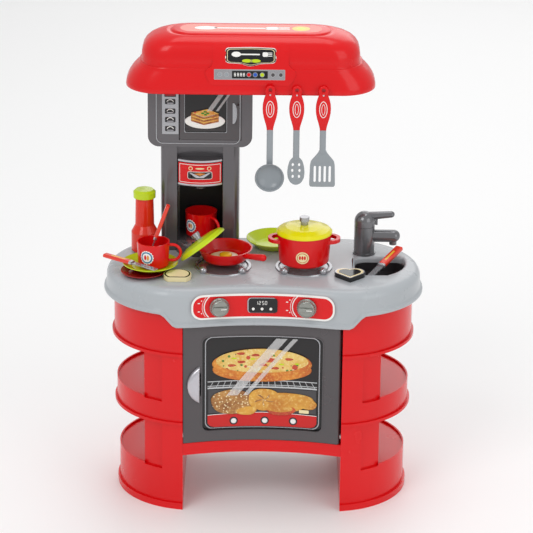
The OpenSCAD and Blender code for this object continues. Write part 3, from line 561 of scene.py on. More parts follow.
def hoodRing(w, d, r, z):
    return [(hood["x"] + u, hood["y"] + v, z) for u, v in roundRect(w, d, r, (0, 0), 14)]


def between(table, t):
    for (a, b), (c, d) in zip(table, table[1:]):
        if t <= c:
            return b + (d - b) * max(0, (t - a) / (c - a))
    return table[-1][1]


bibFront = [(560, -1.6), (567, -1.0), (575, -0.5), (588, 0.8), (597, 2.3), (604, 3.3), (611, 5.0), (617, 7.6),
    (621, 10.2), (626, 15)]


def bibPlace(u, v, d):
    return (hood["x"] + u, between(bibFront, v) - d, v)


def makeHood():
    loft("hood_shell", [hoodRing(*r) for r in hood["rings"]], "redGloss", "kitchen", "red_shell",
         replaced=("hood_brim", "hood_dome", "hood_plate"), angle=50)
    half = [(50, 620.5), (50, 595), (54, 590), (59, 587.4), (59.4, 582), (56.5, 576), (54.5, 571.5), (50,
        567.4)]
    line = fillet(half, [0, 5, 4, 4, 5, 4, 4, 0], 4)
    loop = [(-x, z) for x, z in line[::-1]] + line
    loop = fillet([loop[-1]] + loop[:-1], 0, 1, True)
    work = subdivideLoop([(x, z) for x, z in loop], 4)
    gridPatch("hood_bib", work, bibPlace, -4.0, 0.5, "redGloss", "kitchen", "red_shell", 3.0)
    border = [(-34, 614), (-31, 616.5), (-10, 617.2), (0, 617.4), (10, 617.2), (31, 616.5), (34, 614), (33.4,
        606),
              (34, 599.5), (30, 596.8), (14, 596.2), (6, 593.8), (0, 592.4), (-6, 593.8), (-14, 596.2), (-30,
              596.8),
              (-34, 599.5), (-33.4, 606)]
    for name, grow, base, finish in (("badge_border", 1.0, 0.5, "whitePaint"), ("badge_rim", 0.965, 0.62,
        "blackGloss"),
                                     ("badge_line", 0.925, 0.72, "cream"), ("badge_face", 0.9, 0.8,
                                     "blackGloss")):
        loop = fillet([(x * grow, 605.2 + (z - 605.2) * (1 - (1 - grow) * 1.9)) for x, z in border], 2.5, 3,
            True)
        gridPatch(name, loop, bibPlace, base - 0.3, base, finish, "kitchen", "red_shell", 4.0)
    # generic mark: a spoon and a fork over a leaf
    marks = [("badge_spoon", oval(6.2, 3.3, (-19, 608.5)), "whitePaint"),
             ("badge_spoon_stem", roundRect(26, 1.7, 0.8, (-1, 608.5)), "whitePaint"),
             ("badge_fork", roundRect(7, 5.6, 1.6, (19, 608.5)), "whitePaint"),
             ("badge_leaf_a", oval(6.5, 2.2, (-5, 600.2)), "lime"), ("badge_leaf_b",
             oval(6.5, 2.2, (6.5, 600.2)), "lime"),
             ("badge_dot", oval(1.6, 1.6, (0.8, 600.2)), "cream")]
    marks += [("badge_tine_%d" % i, roundRect(6.4, 0.9, 0.4, (25, 606.5 + 2 * i)),
        "whitePaint") for i in range(3)]
    for name, loop, finish in marks:
        gridPatch(name, loop, bibPlace, 0.7, 0.98, finish, "kitchen", "red_shell", 4.0)
    # strip with printed controls
    strip = [("strip_edge", roundRect(93.4, 13.8, 0.8, (-1.4, 582)), "chromeLike", 0.62),
             ("strip_face", roundRect(92, 12.4, 0.6, (-1.4, 582)), "silver", 0.7),
             ("strip_screen", roundRect(47, 10, 0.6, (-1.0, 582)), "blackGloss", 0.78)]
    for x, finish in ((-40.4, "utensilGrey"), (-31.7, "utensilGrey"), (29.3, "darkGrey"), (39.6, "darkGrey")):
        strip += [("strip_dial_%d" % (x * 10 + 900), oval(3.3, 3.3, (x, 582), 28), "chromeLike", 0.8),
                  ("strip_dial_top_%d" % (x * 10 + 900), oval(2.4, 2.4, (x, 582), 24), finish, 0.9)]
    for x, finish in ((-2.3, "redWare"), (6.0, "blueDot"), (15.2, "lime")):
        strip += [("strip_ring_%d" % (x * 10 + 500), oval(3.2, 3.2, (x, 582), 28), "utensilGrey", 0.86),
                  ("strip_dot_%d" % (x * 10 + 500), oval(2.4, 2.4, (x, 582), 24), finish, 0.94)]
    for i, x in enumerate((-20.5, -16.5, -12.5, -8.8)):
        strip.append(("strip_digit_%d" % i, roundRect(2.4, 4.6, 0.5, (x, 582)), "whitePaint", 0.86))
        strip.append(("strip_digit_gap_%d" % i, roundRect(1.1, 1.2, 0.2, (x, 583.1)), "blackGloss", 0.92))
        strip.append(("strip_digit_hole_%d" % i, roundRect(1.1, 1.2, 0.2, (x, 580.8)), "blackGloss", 0.92))
    for name, loop, finish, lift in strip:
        gridPatch(name, loop, bibPlace, lift - 0.3, lift, finish, "kitchen", "red_shell", 6.0)
    # printed field on the top plate
    topPlace = lambda u, v, d: (hood["x"] + u, hood["y"] + v, 630 + d)
    for name, loop, finish, lift in (
            ("top_field", roundRect(188, 36, 17, (0, 0)), "orangeField", 0.12),
            ("top_spoon", oval(15, 8, (-60, 0)), "whitePaint", 0.2), ("top_stem",
            roundRect(70, 4.4, 2, (-14, 0)), "whitePaint", 0.2),
            ("top_fork", roundRect(18, 13, 4, (28, 0)), "whitePaint", 0.2), ("top_sun", oval(12, 11, (66, 0)),
            "yolk", 0.2),
            ("top_leaf", oval(6, 4.4, (66, 0)), "lime", 0.26)):
        gridPatch(name, loop, topPlace, lift - 0.3, lift, finish, "kitchen", "red_shell", 0)
    for i in range(3):
        gridPatch("top_tine_%d" % i, roundRect(16, 2.2, 1, (43, -4.6 + 4.6 * i)), topPlace, -0.1, 0.2,
            "whitePaint", "kitchen", "red_shell", 0)


def subdivideLoop(loop, step):
    out = []
    for i, a in enumerate(loop):
        b = loop[(i + 1) % len(loop)]
        n = max(1, int(math.dist(a, b) / step))
        out += [(a[0] + (b[0] - a[0]) * k / n, a[1] + (b[1] - a[1]) * k / n) for k in range(n)]
    return out


def gridPatch(name, loop, place, low, high, finish, body, slot, step=4.0, bevel=0.0):
    # a thin shape cut into a grid, so that it follows a curved surface
    work = bmesh.new()
    work.faces.new([work.verts.new((u, v, 0)) for u, v in loop])
    if step:
        for axis in (0, 1):
            at = [v.co[axis] for v in work.verts]
            t = math.floor(min(at) / step) * step + step
            while t < max(at):
                spot, way = [0, 0, 0], [0, 0, 0]
                spot[axis], way[axis] = t, 1
                bmesh.ops.bisect_plane(work, geom=work.verts[:] + work.edges[:] + work.faces[:],
                    plane_co=spot, plane_no=way)
                t += step
    raised = bmesh.ops.extrude_face_region(work, geom=work.faces[:])
    for v in [g for g in raised["geom"] if isinstance(g, bmesh.types.BMVert)]:
        v.co.z = 1
    for v in work.verts:
        v.co = Vector(place(v.co.x, v.co.y, high if v.co.z > 0.5 else low)) * mm
    bmesh.ops.recalc_face_normals(work, faces=work.faces)
    mesh = bpy.data.meshes.new(name)
    work.to_mesh(mesh)
    work.free()
    return finishPiece(name, mesh, finish, body, slot, bevel=bevel, angle=50)


def patcher(place, body, slot, step, prefix=""):
    # writes thin shapes on one surface, all on the same body
    def put(name, loop, low, high, finish, fine=step):
        return gridPatch(prefix + name, loop, place, low, high, finish, body, slot, fine)
    return put


plastic("blueDot", (44, 92, 190), 0.2, 0.02, 0.4)
plastic("orangeField", (232, 74, 40), 0.2, 0.02, 0.5)
makeHood()
print("hood: done")


# utensils
utensil = {"gap": 35.0, "first": 6.6, "y": -8.0, "peg": 561.0}


def handleLine():
    # half outline of a handle, from the round top down to the shaft
    return [(0, 8.6), (3.4, 8.0), (5.8, 5.6), (6.6, 2.6), (6.2, -1.2), (6.4, -4.6), (8.2, -10), (9.6, -16),
        (10, -22), (9.7, -28),
            (8.4, -35), (6.6, -41), (5.2, -46), (4.4, -50), (4.3, -52)]


def slab(name, half, thick, finish, body, slot, at, crown=0.0, hole=None, **more):
    # a plate cut to a mirrored outline with softly rounded faces
    line = half + [(-x, z) for x, z in half[::-1] if x > 0.01]
    line = subdivideLoop(line, 2.2)
    rings = []
    normals = outward([Vector(p) for p in line])
    flip = 1 if sum(n.dot(Vector(p) - Vector((0, -20))) for n, p in zip(normals, line)) > 0 else -1
    for inset, level in ((-0.9, -1), (-0.35, -0.86), (0, -0.5), (0, 0.5), (-0.35, 0.86), (-0.9, 1)):
        rings.append([(at[0] + p[0] + n.x * flip * inset, at[1] - level * thick / 2,
            at[2] + p[1] + n.y * flip * inset)
                      for p, n in zip(line, normals)])
    return loft(name, rings, finish, body, slot, **more)


def makeUtensils():
    kinds = [("ladle", 0), ("slotted_spoon", 1), ("spatula", 2)]
    for name, i in kinds:
        x = utensil["first"] + utensil["gap"] * i
        at, body = (x, utensil["y"], utensil["peg"]), name + "_body"
        slab(name + "_grip", handleLine(), 4.6, "redGloss", body, "utensil_plastic", at, replaced=(name,),
            angle=50)
        front = lambda u, v, d, x=x: (x + u, utensil["y"] - 2.3 - d, utensil["peg"] + v)
        marks = (("oval_ring", 5.4, 11.4, -23, 36, 0.25, "whitePaint"), ("oval_in", 4.5, 10.4, -23, 36, 0.32,
            "redGloss"),
                 ("oval_core", 2.5, 7.6, -23, 32, 0.4, "whitePaint"), ("oval_mid", 1.8, 6.8, -23, 32, 0.5,
                 "redGloss"),
                 ("screw", 1.1, 1.1, -3.6, 20, 0.3, "chromeLike"), ("eye", 2.6, 2.6, 3.2, 24, 0.12,
                 "deepRed"))
        for tag, rx, rz, z, sides, high, finish in marks:
            loop = oval(rx, rz, (0, z), sides)
            gridPatch(name + "_" + tag, loop, front, -0.4, high, finish, body, "utensil_plastic", 0)
        length = {"ladle": 98, "slotted_spoon": 92, "spatula": 82}[name]
        path = [(x, utensil["y"], utensil["peg"] - z) for z in (44, 56, 70, 84, length + 2)]
        tube(name + "_shaft", path, (4.2, 1.7), "utensilGrey", body, "utensil_plastic", up=(0, -1, 0),
            sides=24)
    # ladle bowl, hollow to the front
    x = utensil["first"]
    prof = [(0.01, 0)]
    r = 19.3
    for k in range(1, 15):
        a = math.radians(90 * k / 14 * 0.93)
        prof.append((r * math.sin(a), 12.5 * (1 - math.cos(a))))
    inner = [(p[0] - 1.4 if p[0] > 2 else p[0], p[1] - 1.5) for p in prof[::-1]]
    inner[-1] = (0.01, -1.5)
    lathe("ladle_bowl", prof + [(r + 0.2, prof[-1][1] - 0.9)] + inner, (x, utensil["y"] + 0.6,
        utensil["peg"] - 116), "utensilGrey",
          "ladle_body", "utensil_plastic", turn=Matrix.Rotation(math.radians(90), 3, "X"))
    # slotted spoon
    x = utensil["first"] + utensil["gap"]
    place = lambda u, v, d: (x + u, utensil["y"] + 1.6 - d + ((u / 12) ** 2 + ((v + 108) / 20) ** 2) * -2.2,
        utensil["peg"] + v)
    spoon = [(0, -89), (4.4, -90), (8.6, -95), (10.6, -102), (11.6, -110), (10.8, -118), (7.6, -124.5), (3.6,
        -127.4), (0, -128)]
    holes = [oval(1.5, 2.4, (sx * (4.2 + (0.6 if k == 1 else 0)), -100.5 - 8.2 * k), 16) for sx in (-1,
        1) for k in range(3)]
    holedPatch("slotted_spoon_bowl", mirrored(spoon), holes, place, -1.0, 1.0, "utensilGrey",
        "slotted_spoon_body", "utensil_plastic", 3)
    # spatula
    x2 = utensil["first"] + utensil["gap"] * 2
    place2 = lambda u, v, d: (x2 + u, utensil["y"] - d + max(0, -v - 92) * 0.02, utensil["peg"] + v)
    blade = [(0, -78), (4, -79), (6.4, -84), (12.6, -91.5), (15.4, -95), (16.4, -100), (17.2, -128), (15.8,
        -130.8), (0, -131)]
    slots = [roundRect(3.0, 23, 1.4, (-9.9 + 6.6 * k, -113)) for k in range(4)]
    holedPatch("spatula_blade", mirrored(blade), slots, place2, -1.0, 1.0, "utensilGrey", "spatula_body",
        "utensil_plastic", 0)


def mirrored(half):
    line = fillet(half, 2.2, 4)
    return line + [(-x, z) for x, z in line[::-1] if x > 0.01]


def holedPatch(name, loop, holes, place, low, high, finish, body, slot, step=0):
    work = bmesh.new()
    for one in [loop] + list(holes):
        one = subdivideLoop(one, step) if step else one
        ring = [work.verts.new((u, v, 0)) for u, v in one]
        for i in range(len(ring)):
            work.edges.new((ring[i], ring[(i + 1) % len(ring)]))
    bmesh.ops.triangle_fill(work, edges=work.edges[:], use_beauty=True, normal=(0, 0, 1))
    raised = bmesh.ops.extrude_face_region(work, geom=work.faces[:])
    for v in [g for g in raised["geom"] if isinstance(g, bmesh.types.BMVert)]:
        v.co.z = 1
    for v in work.verts:
        v.co = Vector(place(v.co.x, v.co.y, high if v.co.z > 0.5 else low)) * mm
    bmesh.ops.recalc_face_normals(work, faces=work.faces)
    mesh = bpy.data.meshes.new(name)
    work.to_mesh(mesh)
    work.free()
    return finishPiece(name, mesh, finish, body, slot, angle=40)


makeUtensils()
print("utensils: done")

# oven window and its printed picture
doorSet = {"half": 105.2, "front": 103.0, "sag": 15.0, "thick": 9.0, "low": 97.0, "top": 265.0}
doorBow = (doorSet["half"] ** 2 + doorSet["sag"] ** 2) / (2 * doorSet["sag"])
doorCentre = -doorSet["front"] + doorSet["sag"] - doorBow
windowPlace = arcOn(doorCentre, doorBow + 4.0)
doorFace = arcOn(doorCentre, doorBow)
body = "oven_door_body"


def food(name, base, dark, light, scale, bumpy=0.5, rough=0.4, spots=None):
    m = Maker(name)
    place = m.place()
    cloud = m.noise(scale, 4, place)
    fine = m.noise(scale * 6, 3, place)
    tone = m.mix((cloud - 0.35) * 2.6, linear(dark), linear(base))
    tone = m.mix((fine - 0.5) * 2.4, tone, linear(light))
    for colour, size, limit in spots or ():
        cell = m.add("ShaderNodeTexVoronoi", {"feature": "F1"}, {"Vector": place, "Scale": size})[0]
        tone = m.mix((cell < limit) * 0.95, tone, linear(colour))
    m.set(Base_Color=tone, Roughness=rough, Coat_Weight=0.25)
    m.bump(fine + cloud, bumpy, 0.0006)
    materials[name] = m.material


food("pizzaTop", (238, 214, 128), (222, 170, 70), (250, 236, 178), 60, 0.6, 0.45,
     [((196, 52, 24), 62, 0.24), ((74, 128, 34), 88, 0.16), ((240, 230, 190), 75, 0.12), ((60, 44, 30), 120,
     0.1)])
food("pizzaCrust", (232, 150, 48), (196, 96, 20), (248, 196, 96), 50, 0.4, 0.45)
food("rollYellow", (236, 184, 72), (196, 122, 34), (250, 220, 132), 40, 0.4, 0.4)
food("rollBrown", (196, 140, 70), (140, 84, 36), (230, 190, 120), 45, 0.4, 0.5,
    [((238, 218, 170), 260, 0.28)])
food("sauceRed", (214, 84, 40), (170, 40, 20), (240, 150, 80), 90, 0.4, 0.4)
food("lasagneTop", (240, 204, 90), (220, 140, 40), (252, 236, 160), 120, 0.5, 0.4,
    [((214, 70, 40), 120, 0.2)])
food("lasagneSide", (206, 120, 48), (140, 58, 20), (240, 196, 110), 140, 0.5, 0.5)
# see-through white for painted reflections on the window glass
plastic("glareWhite", (255, 255, 255), 0.1, 0.0, 0.3)
glare = materials["glareWhite"]
glare.node_tree.nodes["Principled BSDF"].inputs["Alpha"].default_value = 0.28
plastic("ovenDark", (34, 32, 33), 0.35, 0.03, 0.4)
plastic("ovenFloor", (74, 72, 74), 0.35, 0.03, 0.4)
plastic("wire", (196, 198, 200), 0.25, 0.02, 0.3, 0.03, 0.6)
plastic("stripRed", (206, 24, 22), 0.2, 0.02, 0.5)


def makeOvenPicture():
    slot = "black_gloss"
    put = patcher(windowPlace, body, slot, 6.0)
    # silver edge line round the picture
    put("picture_back", roundRect(148, 128, 9, (0, 180)), 0.0, 0.25, "ovenDark")
    holedPatch("picture_rim", subdivideLoop(roundRect(153, 133, 10, (0, 180)), 4),
        [roundRect(150.4, 130.4, 9, (0, 180))],
               windowPlace, 0.0, 0.6, "silver", body, slot, 4)
    put("picture_floor", [(-72, 136), (72, 136), (72, 170), (-72, 170)], 0.2, 0.34, "ovenFloor")
    # shelf of wire, seen slightly from above
    for i, (z, t) in enumerate(((182, 0.6), (172.6, 1.1), (175.6, 0.5))):
        put("rack_line_%d" % i, [(-73, z - t), (73, z - t), (73, z + t), (-73, z + t)], 0.3, 0.6, "wire")
    for k in range(17):
        x = -68 + 8.5 * k
        put("rack_bar_%02d" % k, [(x * 1.04 - 0.45, 172.6), (x * 1.04 + 0.45, 172.6), (x * 0.96 + 0.4, 182),
            (x * 0.96 - 0.4, 182)],
            0.3, 0.5, "wire", 0)
    # two pizzas on top of each other
    for i, (cz, rx, rz) in enumerate(((199.5, 66, 19), (207.5, 66.5, 20.5))):
        blob("pizza_crust_%d" % i, (-0.7, cz), (rx, rz, 1.7), "pizzaCrust", body, slot, 0.006, 1.4 + i, 0.3,
            64,
             lambda u, v, d, i=i: windowPlace(u, v, 0.3 + i * 0.5 + d))
    blob("pizza_top", (-0.7, 211.2), (61.5, 17.2, 0.8), "pizzaTop", body, slot, 0.012, 0.4, 0.3, 64,
         lambda u, v, d: windowPlace(u, v, 2.1 + d))
    for k in range(16):
        a = 2.399 * k
        r = 0.93 * math.sqrt((k + 0.6) / 16)
        u, v = -0.7 + 56 * r * math.cos(a), 211.2 + 14.6 * r * math.sin(a)
        kind = ("sauceRed", "lime", "sauceRed", "cream")[k % 4]
        blob("topping_%02d" % k, (u, v), (5.6 if k % 4 in (0, 2) else 3.6, 1.9 if k % 4 in (0, 2) else 1.1,
            0.7), kind, body, slot,
             0.14, k * 1.7, 0.5, 14, lambda a, b, d: windowPlace(a, b, 2.7 + d))
    # loaves and rolls
    rolls = [("loaf_seeded", (-40, 152), (29, 18), "rollBrown", 0.05, 2.0), ("roll_back", (34, 157), (34, 8),
        "rollYellow", 0.04, 1.5),
             ("roll_end", (62, 150), (11, 8), "rollYellow", 0.05, 1.5), ("roll_right", (40, 149.5), (17, 11),
             "rollYellow", 0.03, 2.1),
             ("roll_small", (-22, 139), (15, 6.5), "rollYellow", 0.05, 2.2), ("roll_kaiser", (2.5, 155),
             (22, 16), "rollYellow", 0.04, 2.6),
             ("roll_front", (25, 141), (20, 8.6), "sauceRed", 0.04, 3.0), ("roll_front_top", (24, 143),
             (18, 7), "rollYellow", 0.05, 3.5)]
    for i, (name, at, size, finish, lumps, lift) in enumerate(rolls):
        blob(name, at, (size[0], size[1], 1.6), finish, body, slot, lumps, i * 1.3 + 0.4, 0.45, 36,
             lambda u, v, d, l=lift: windowPlace(u, v, l * 0.55 + d))
    for k in range(5):
        a = math.radians(100 + 72 * k)
        path = [Vector(windowPlace(2.5 + 18 * t * math.cos(a + t * 0.7),
            155 + 12.5 * t * math.sin(a + t * 0.7), 2.9 - 0.9 * t * t))
                for t in (0.05, 0.3, 0.55, 0.8, 0.98)]
        tube("roll_kaiser_fold_%d" % k, path, [(0.5, 0.3), (1.1, 0.5), (1.3, 0.6), (1.1, 0.5), (0.4, 0.2)],
            "rollBrown", body, slot,
             sides=10, up=(0, -1, 0))
    # red strip with three round buttons
    strip = [(-73, 133), (-73, 122), (-70, 117.6), (-64, 115.6), (64, 115.6), (70, 117.6), (73, 122), (73,
        133), (0, 135.4)]
    put("picture_strip_edge", [(u, v + 0.8) for u, v in strip], 0.3, 0.5, "whitePaint")
    put("picture_strip", strip, 0.3, 0.65, "stripRed")
    for i, x in enumerate((-38, 3.6, 41.7)):
        for name, r, lift, finish in (("ring", 5.6, 0.9, "blackGloss"), ("dot", 3.9, 1.1, "chromeLike"),
            ("top", 3.1, 1.3, "whitePaint")):
            put("picture_button_%s_%d" % (name, i), oval(r, r, (x, 124), 28), 0.5, lift, finish)
    put("picture_mark", roundRect(13, 4.6, 0.6, (56, 139.6)), 2.2, 2.9, "cream")
    # two slanting bands of painted reflection on the clear sheet
    for i, (x, w) in enumerate(((-8, 15), (14, 7))):
        band = [(x - 32, 172), (x - 32 + w, 172), (x + 26 + w, 244), (x + 26, 244)]
        put("picture_glare_%d" % i, band, 3.35, 3.42, "glareWhite")
        low = [(x - 32, 172), (x - 32 + w, 172), (x - 40 + w, 162), (x - 40, 162)]
        put("picture_glare_low_%d" % i, low, 3.35, 3.42, "glareWhite")


makeOvenPicture()


def makeDoorTrim():
    # raised silver-grey line round the window recess, and the half-moon pull
    holedPatch("door_window_trim", subdivideLoop(roundRect(163, 139, 10, (0, 180)), 4),
        [roundRect(159.6, 135.6, 8.4, (0, 180))],
               doorFace, -1.5, 0.5, "darkGrey", body, "dark_plastic", 4)
    # centre and radius of the round side, and the line of the straight side
    at, r, straightSide = (-70.5, 180.5), 29.5, -83.2
    face = lambda x: doorCentre + math.sqrt(doorBow ** 2 - x * x)
    rings = []
    for grow, lift in ((1.0, -2.0), (1.0, 1.2), (0.985, 2.6), (0.95, 4.0), (0.89, 5.2), (0.8, 6.2), (0.66,
        6.9), (0.45, 7.2)):
        ring = []
        for k in range(40):
            a = math.radians(180 + 64.5 * (k / 39 * 2 - 1))
            x, z = at[0] + r * math.cos(a), at[1] + r * math.sin(a)
            cx, cz = -88, at[1]
            x, z = cx + (x - cx) * grow, cz + (z - cz) * grow
            ring.append((min(x, straightSide), face(x) - lift, z))
        rings.append(ring)
    loft("door_pull", rings, "silverBright", body, "silver_plastic", replaced=("oven_handle",), angle=55)


plastic("silverBright", (196, 194, 200), 0.26, 0.03, 0.5, 0.04, 0.6)
makeDoorTrim()
print("oven door: done")

# control panel
panel = {"z": 293.5, "wide": 187.0, "high": 33.0, "knob": 58.0, "skin": 2.0}
fasciaPlace = arcOn(frontCentre, bow)


def makePanel():
    slot = "red_shell"
    z = panel["z"]
    put = patcher(fasciaPlace, "kitchen", slot, 5.0)
    holedPatch("panel_line", subdivideLoop(roundRect(188.4, 34.4, 14.4, (0, z), 10), 4),
        [roundRect(183.6, 29.6, 12.4, (0, z), 10)],
               fasciaPlace, 0.6, panel["skin"] + 0.45, "whitePaint", "kitchen", slot, 4)
    for sx in (-58, 58):
        put("panel_arc_%d" % (sx + 100), arcStrip(19.4, 1.3, (sx, z), 130, 226, 18), 1.6, 2.3, "whitePaint",
            0)
        put("panel_arc_thin_%d" % (sx + 100), arcStrip(22.0, 0.5, (sx, z), 140, 216, 18), 1.6, 2.3,
            "whitePaint", 0)
        for i, dz in enumerate((6.4, -5.4)):
            put("panel_mark_%d_%d" % (sx + 100, i), roundRect(3.0, 1.2, 0.4, (sx - 26.4, z + dz)), 1.6, 2.3,
                "whitePaint", 0)
            put("panel_dot_%d_%d" % (sx + 100, i), oval(0.8, 0.8, (sx - 22.8, z + dz * 1.5), 14), 1.6, 2.3,
                "whitePaint", 0)
    put("clock_frame", roundRect(38.6, 21.6, 5, (-1.3, z + 1.4)), 1.6, 3.4, "silver")
    put("clock_face", roundRect(34.4, 17.4, 3.4, (-1.3, z + 1.4)), 1.6, 3.9, "blackGloss")
    # digits made of short bars
    bars = {"1": "bc", "2": "abged", "0": "abcdef", "5": "afgcd"}
    spots = {"a": (0, 2.3, 1), "b": (1.1, 1.15, 0), "c": (1.1, -1.15, 0), "d": (0, -2.3, 1), "e": (-1.1,
        -1.15, 0), "f": (-1.1, 1.15, 0), "g": (0, 0, 1)}
    for k, (digit, x) in enumerate(zip("1250", (-6.9, -3.1, 1.3, 5.1))):
        for b in bars[digit]:
            dx, dz, flat = spots[b]
            put("clock_digit_%d%s" % (k, b), roundRect(1.9 if flat else 0.6, 0.6 if flat else 1.9, 0.25,
                (-1.3 + x + dx, z + 5 + dz)), 3.7, 4.15, "whitePaint", 0)
    for i, x in enumerate((-11.6, 0, 11.6)):
        put("clock_button_%d" % i, oval(1.9, 1.9, (-1.3 + x, z - 3.4), 20), 3.7, 4.5, "whitePaint", 0)


def makeKnobs():
    tilt = math.asin(panel["knob"] / bow)
    y = frontCentre + bow * math.cos(tilt)
    for name, s in (("knob_left", -1), ("knob_right", 1)):
        spin = Matrix.Rotation(-s * tilt, 3, "Z") @ Matrix.Rotation(math.radians(90), 3, "X")
        at = Vector((s * panel["knob"], y, panel["z"]))
        prof = fillet([(3, -2), (3, 2.4), (13.2, 2.4), (13.2, 5.4), (11.9, 6.6), (11.2, 10.6), (9.8, 11.9),
            (8.8, 11.4), (0.01, 11.0)],
                      [0, 0, 0.7, 0.9, 0.6, 1.6, 0.8, 0.5, 0], 4)
        lathe(name + "_cap", prof, at, "knobSilver", name + "_body", "silver_plastic", turns=64, turn=spin,
            replaced=(name,), angle=35)
        place = lambda u, v, d, spin=spin, at=at: tuple(at + spin @ Vector((u, v, d)))
        gridPatch(name + "_grip", roundRect(19.5, 5.2, 2.4, (0, 0)), place, 10.4, 13.4, "knobSilver",
            name + "_body", "silver_plastic", 0, 0.5)
        gridPatch(name + "_line", roundRect(7.5, 0.9, 0.4, (4.5, 0)), place, 13.0, 13.55, "whitePaint",
            name + "_body", "silver_plastic", 0)
        for k in range(24):
            a = 2 * math.pi * k / 24
            half = 0.045
            ridge = [(r * math.cos(a + t), r * math.sin(a + t)) for r, t in
                     ((11.9, -half), (11.9, half), (11.1, half), (11.1, -half))]
            gridPatch("%s_rib_%02d" % (name, k), ridge, place, 6.2, 10.2, "knobSilver", name + "_body",
                "silver_plastic", 0)


plastic("knobSilver", (150, 152, 146), 0.22, 0.03, 0.4, 0.05, 0.7)
makePanel()
makeKnobs()
print("controls: done")

# loose cutlery, dishes and the column's fittings
def tableKnife(name, start, way, side, handle, blade, flip=False):
    # red handle with a plain yellow stripe, a silver collar and a grey blade, told apart along its length
    m = Maker(name + "_finish")
    spot = m.place()
    parts = m.add("ShaderNodeSeparateXYZ", {}, {"Vector": spot})
    along = sum((parts[i] - start[i] * mm) * way[i] for i in (1, 2)) + (parts[0] - start[0] * mm) * way[0]
    across = sum((parts[i] - start[i] * mm) * side[i] for i in (1, 2)) + (parts[0] - start[0] * mm) * side[0]
    seen = (handle * mm - along) if not flip else (along - blade * mm)
    isBlade = seen < 0
    isCollar = (seen < 4 * mm) * (seen > 0)
    stripe = (seen > 13 * mm) * (seen < 37 * mm) * ((across * across) < (1.5 * mm) ** 2)
    grain = m.noise(160, 3)
    tone = m.mix(grain, linear((222, 40, 20)), linear((236, 58, 26)))
    tone = m.mix(stripe * 0.95, tone, linear((240, 196, 50)))
    tone = m.mix(isCollar, tone, linear((205, 205, 208)))
    tone = m.mix(isBlade, tone, linear((168, 170, 174)))
    m.set(Base_Color=tone, Metallic=isBlade * 0.75 + isCollar * 0.9, Roughness=grain * 0.1 + 0.2,
        Coat_Weight=0.5)
    m.bump(grain, 0.03, 0.0004)
    nodes[name].data.materials[0] = m.material


deg = math.radians
tableKnife("knife_in_mug", (-156, -30, 330.5), (math.cos(deg(70)), 0, math.sin(deg(70))), (0, 1, 0), 84, 33,
    True)
tableKnife("knife_on_plate", (-212, -22, 335.3), (math.cos(deg(-37)), math.sin(deg(-37)), 0),
    (math.sin(deg(37)), math.cos(deg(37)), 0), 48, 40)
tableKnife("cleaver", (184, 36, 328), (-0.5307, -0.8172, -0.225), (0.8387, -0.5446, 0), 50, 30)


def makeColumnFittings():
    # label round the coffee machine's head
    drum = drumOn(-87, 90, 53.6)
    put = patcher(drum, "kitchen", "dark_plastic", 3)
    put("label", roundRect(61, 29.5, 1.5, (0, 431)), -1.2, 0.3, "redGloss")
    holedPatch("label_line", subdivideLoop(roundRect(57.5, 26, 1.2, (0, 431)), 3),
        [roundRect(56.1, 24.6, 1, (0, 431))],
               drum, 0.1, 0.55, "whitePaint", "kitchen", "dark_plastic", 3)
    put("label_window_rim", roundRect(33.6, 10.8, 2.6, (0, 428.8)), 0.1, 0.6, "whitePaint")
    put("label_window", roundRect(32, 9.4, 2, (0, 428.8)), 0.1, 0.85, "blackGloss")
    put("label_sign", [(-14.5, 432.4), (-11, 432.4), (0, 427.6), (11, 432.4), (14.5, 432.4), (5, 425.8), (-5,
        425.8)], 0.5, 1.15, "silverBright")
    put("label_sign_top", [(-8, 431.4), (0, 428.9), (8, 431.4), (0, 432.6)], 0.5, 1.1, "pizzaCrust")
    for i, x in enumerate((-12.5, 12.5)):
        put("label_round_%d" % i, oval(2.9, 2.9, (x, 438.6), 24), 0.1, 0.6, "cream")
        put("label_round_red_%d" % i, oval(1.8, 1.8, (x, 438.6), 24), 0.3, 0.75, "redGloss")
    put("label_leaf", oval(6, 1.1, (0, 438.6), 24), 0.1, 0.6, "cream")
    for z, t in ((415, 2.4), (448.2, 2.4)):
        put("head_rim_%d" % z, roundRect(62.5, t, 1, (0, z)), -1.2, 0.5, "silverBright")
    lathe("nozzle_body", fillet([(0.01, 0), (6, 0), (8, 1.2), (9, 9), (9, 11), (0.01, 11)], [0, 0.6, 0.8, 0.6,
        0, 0], 3),
          (-87, 62, 403), "columnGrey", "kitchen", "dark_plastic", turns=40)
    # near-black sheet at the back of the niche: painted shade for the dark recess
    verts = [(x, y, z) for x in (-116, -58) for y in (95.0, 95.8) for z in (330, 412)]
    addPiece("niche_back", verts, [(0, 1, 3, 2), (4, 6, 7, 5), (0, 4, 5, 1), (2, 3, 7, 6), (0, 2, 6, 4), (1,
        5, 7, 3)], "blackMatt", "kitchen", "dark_plastic")


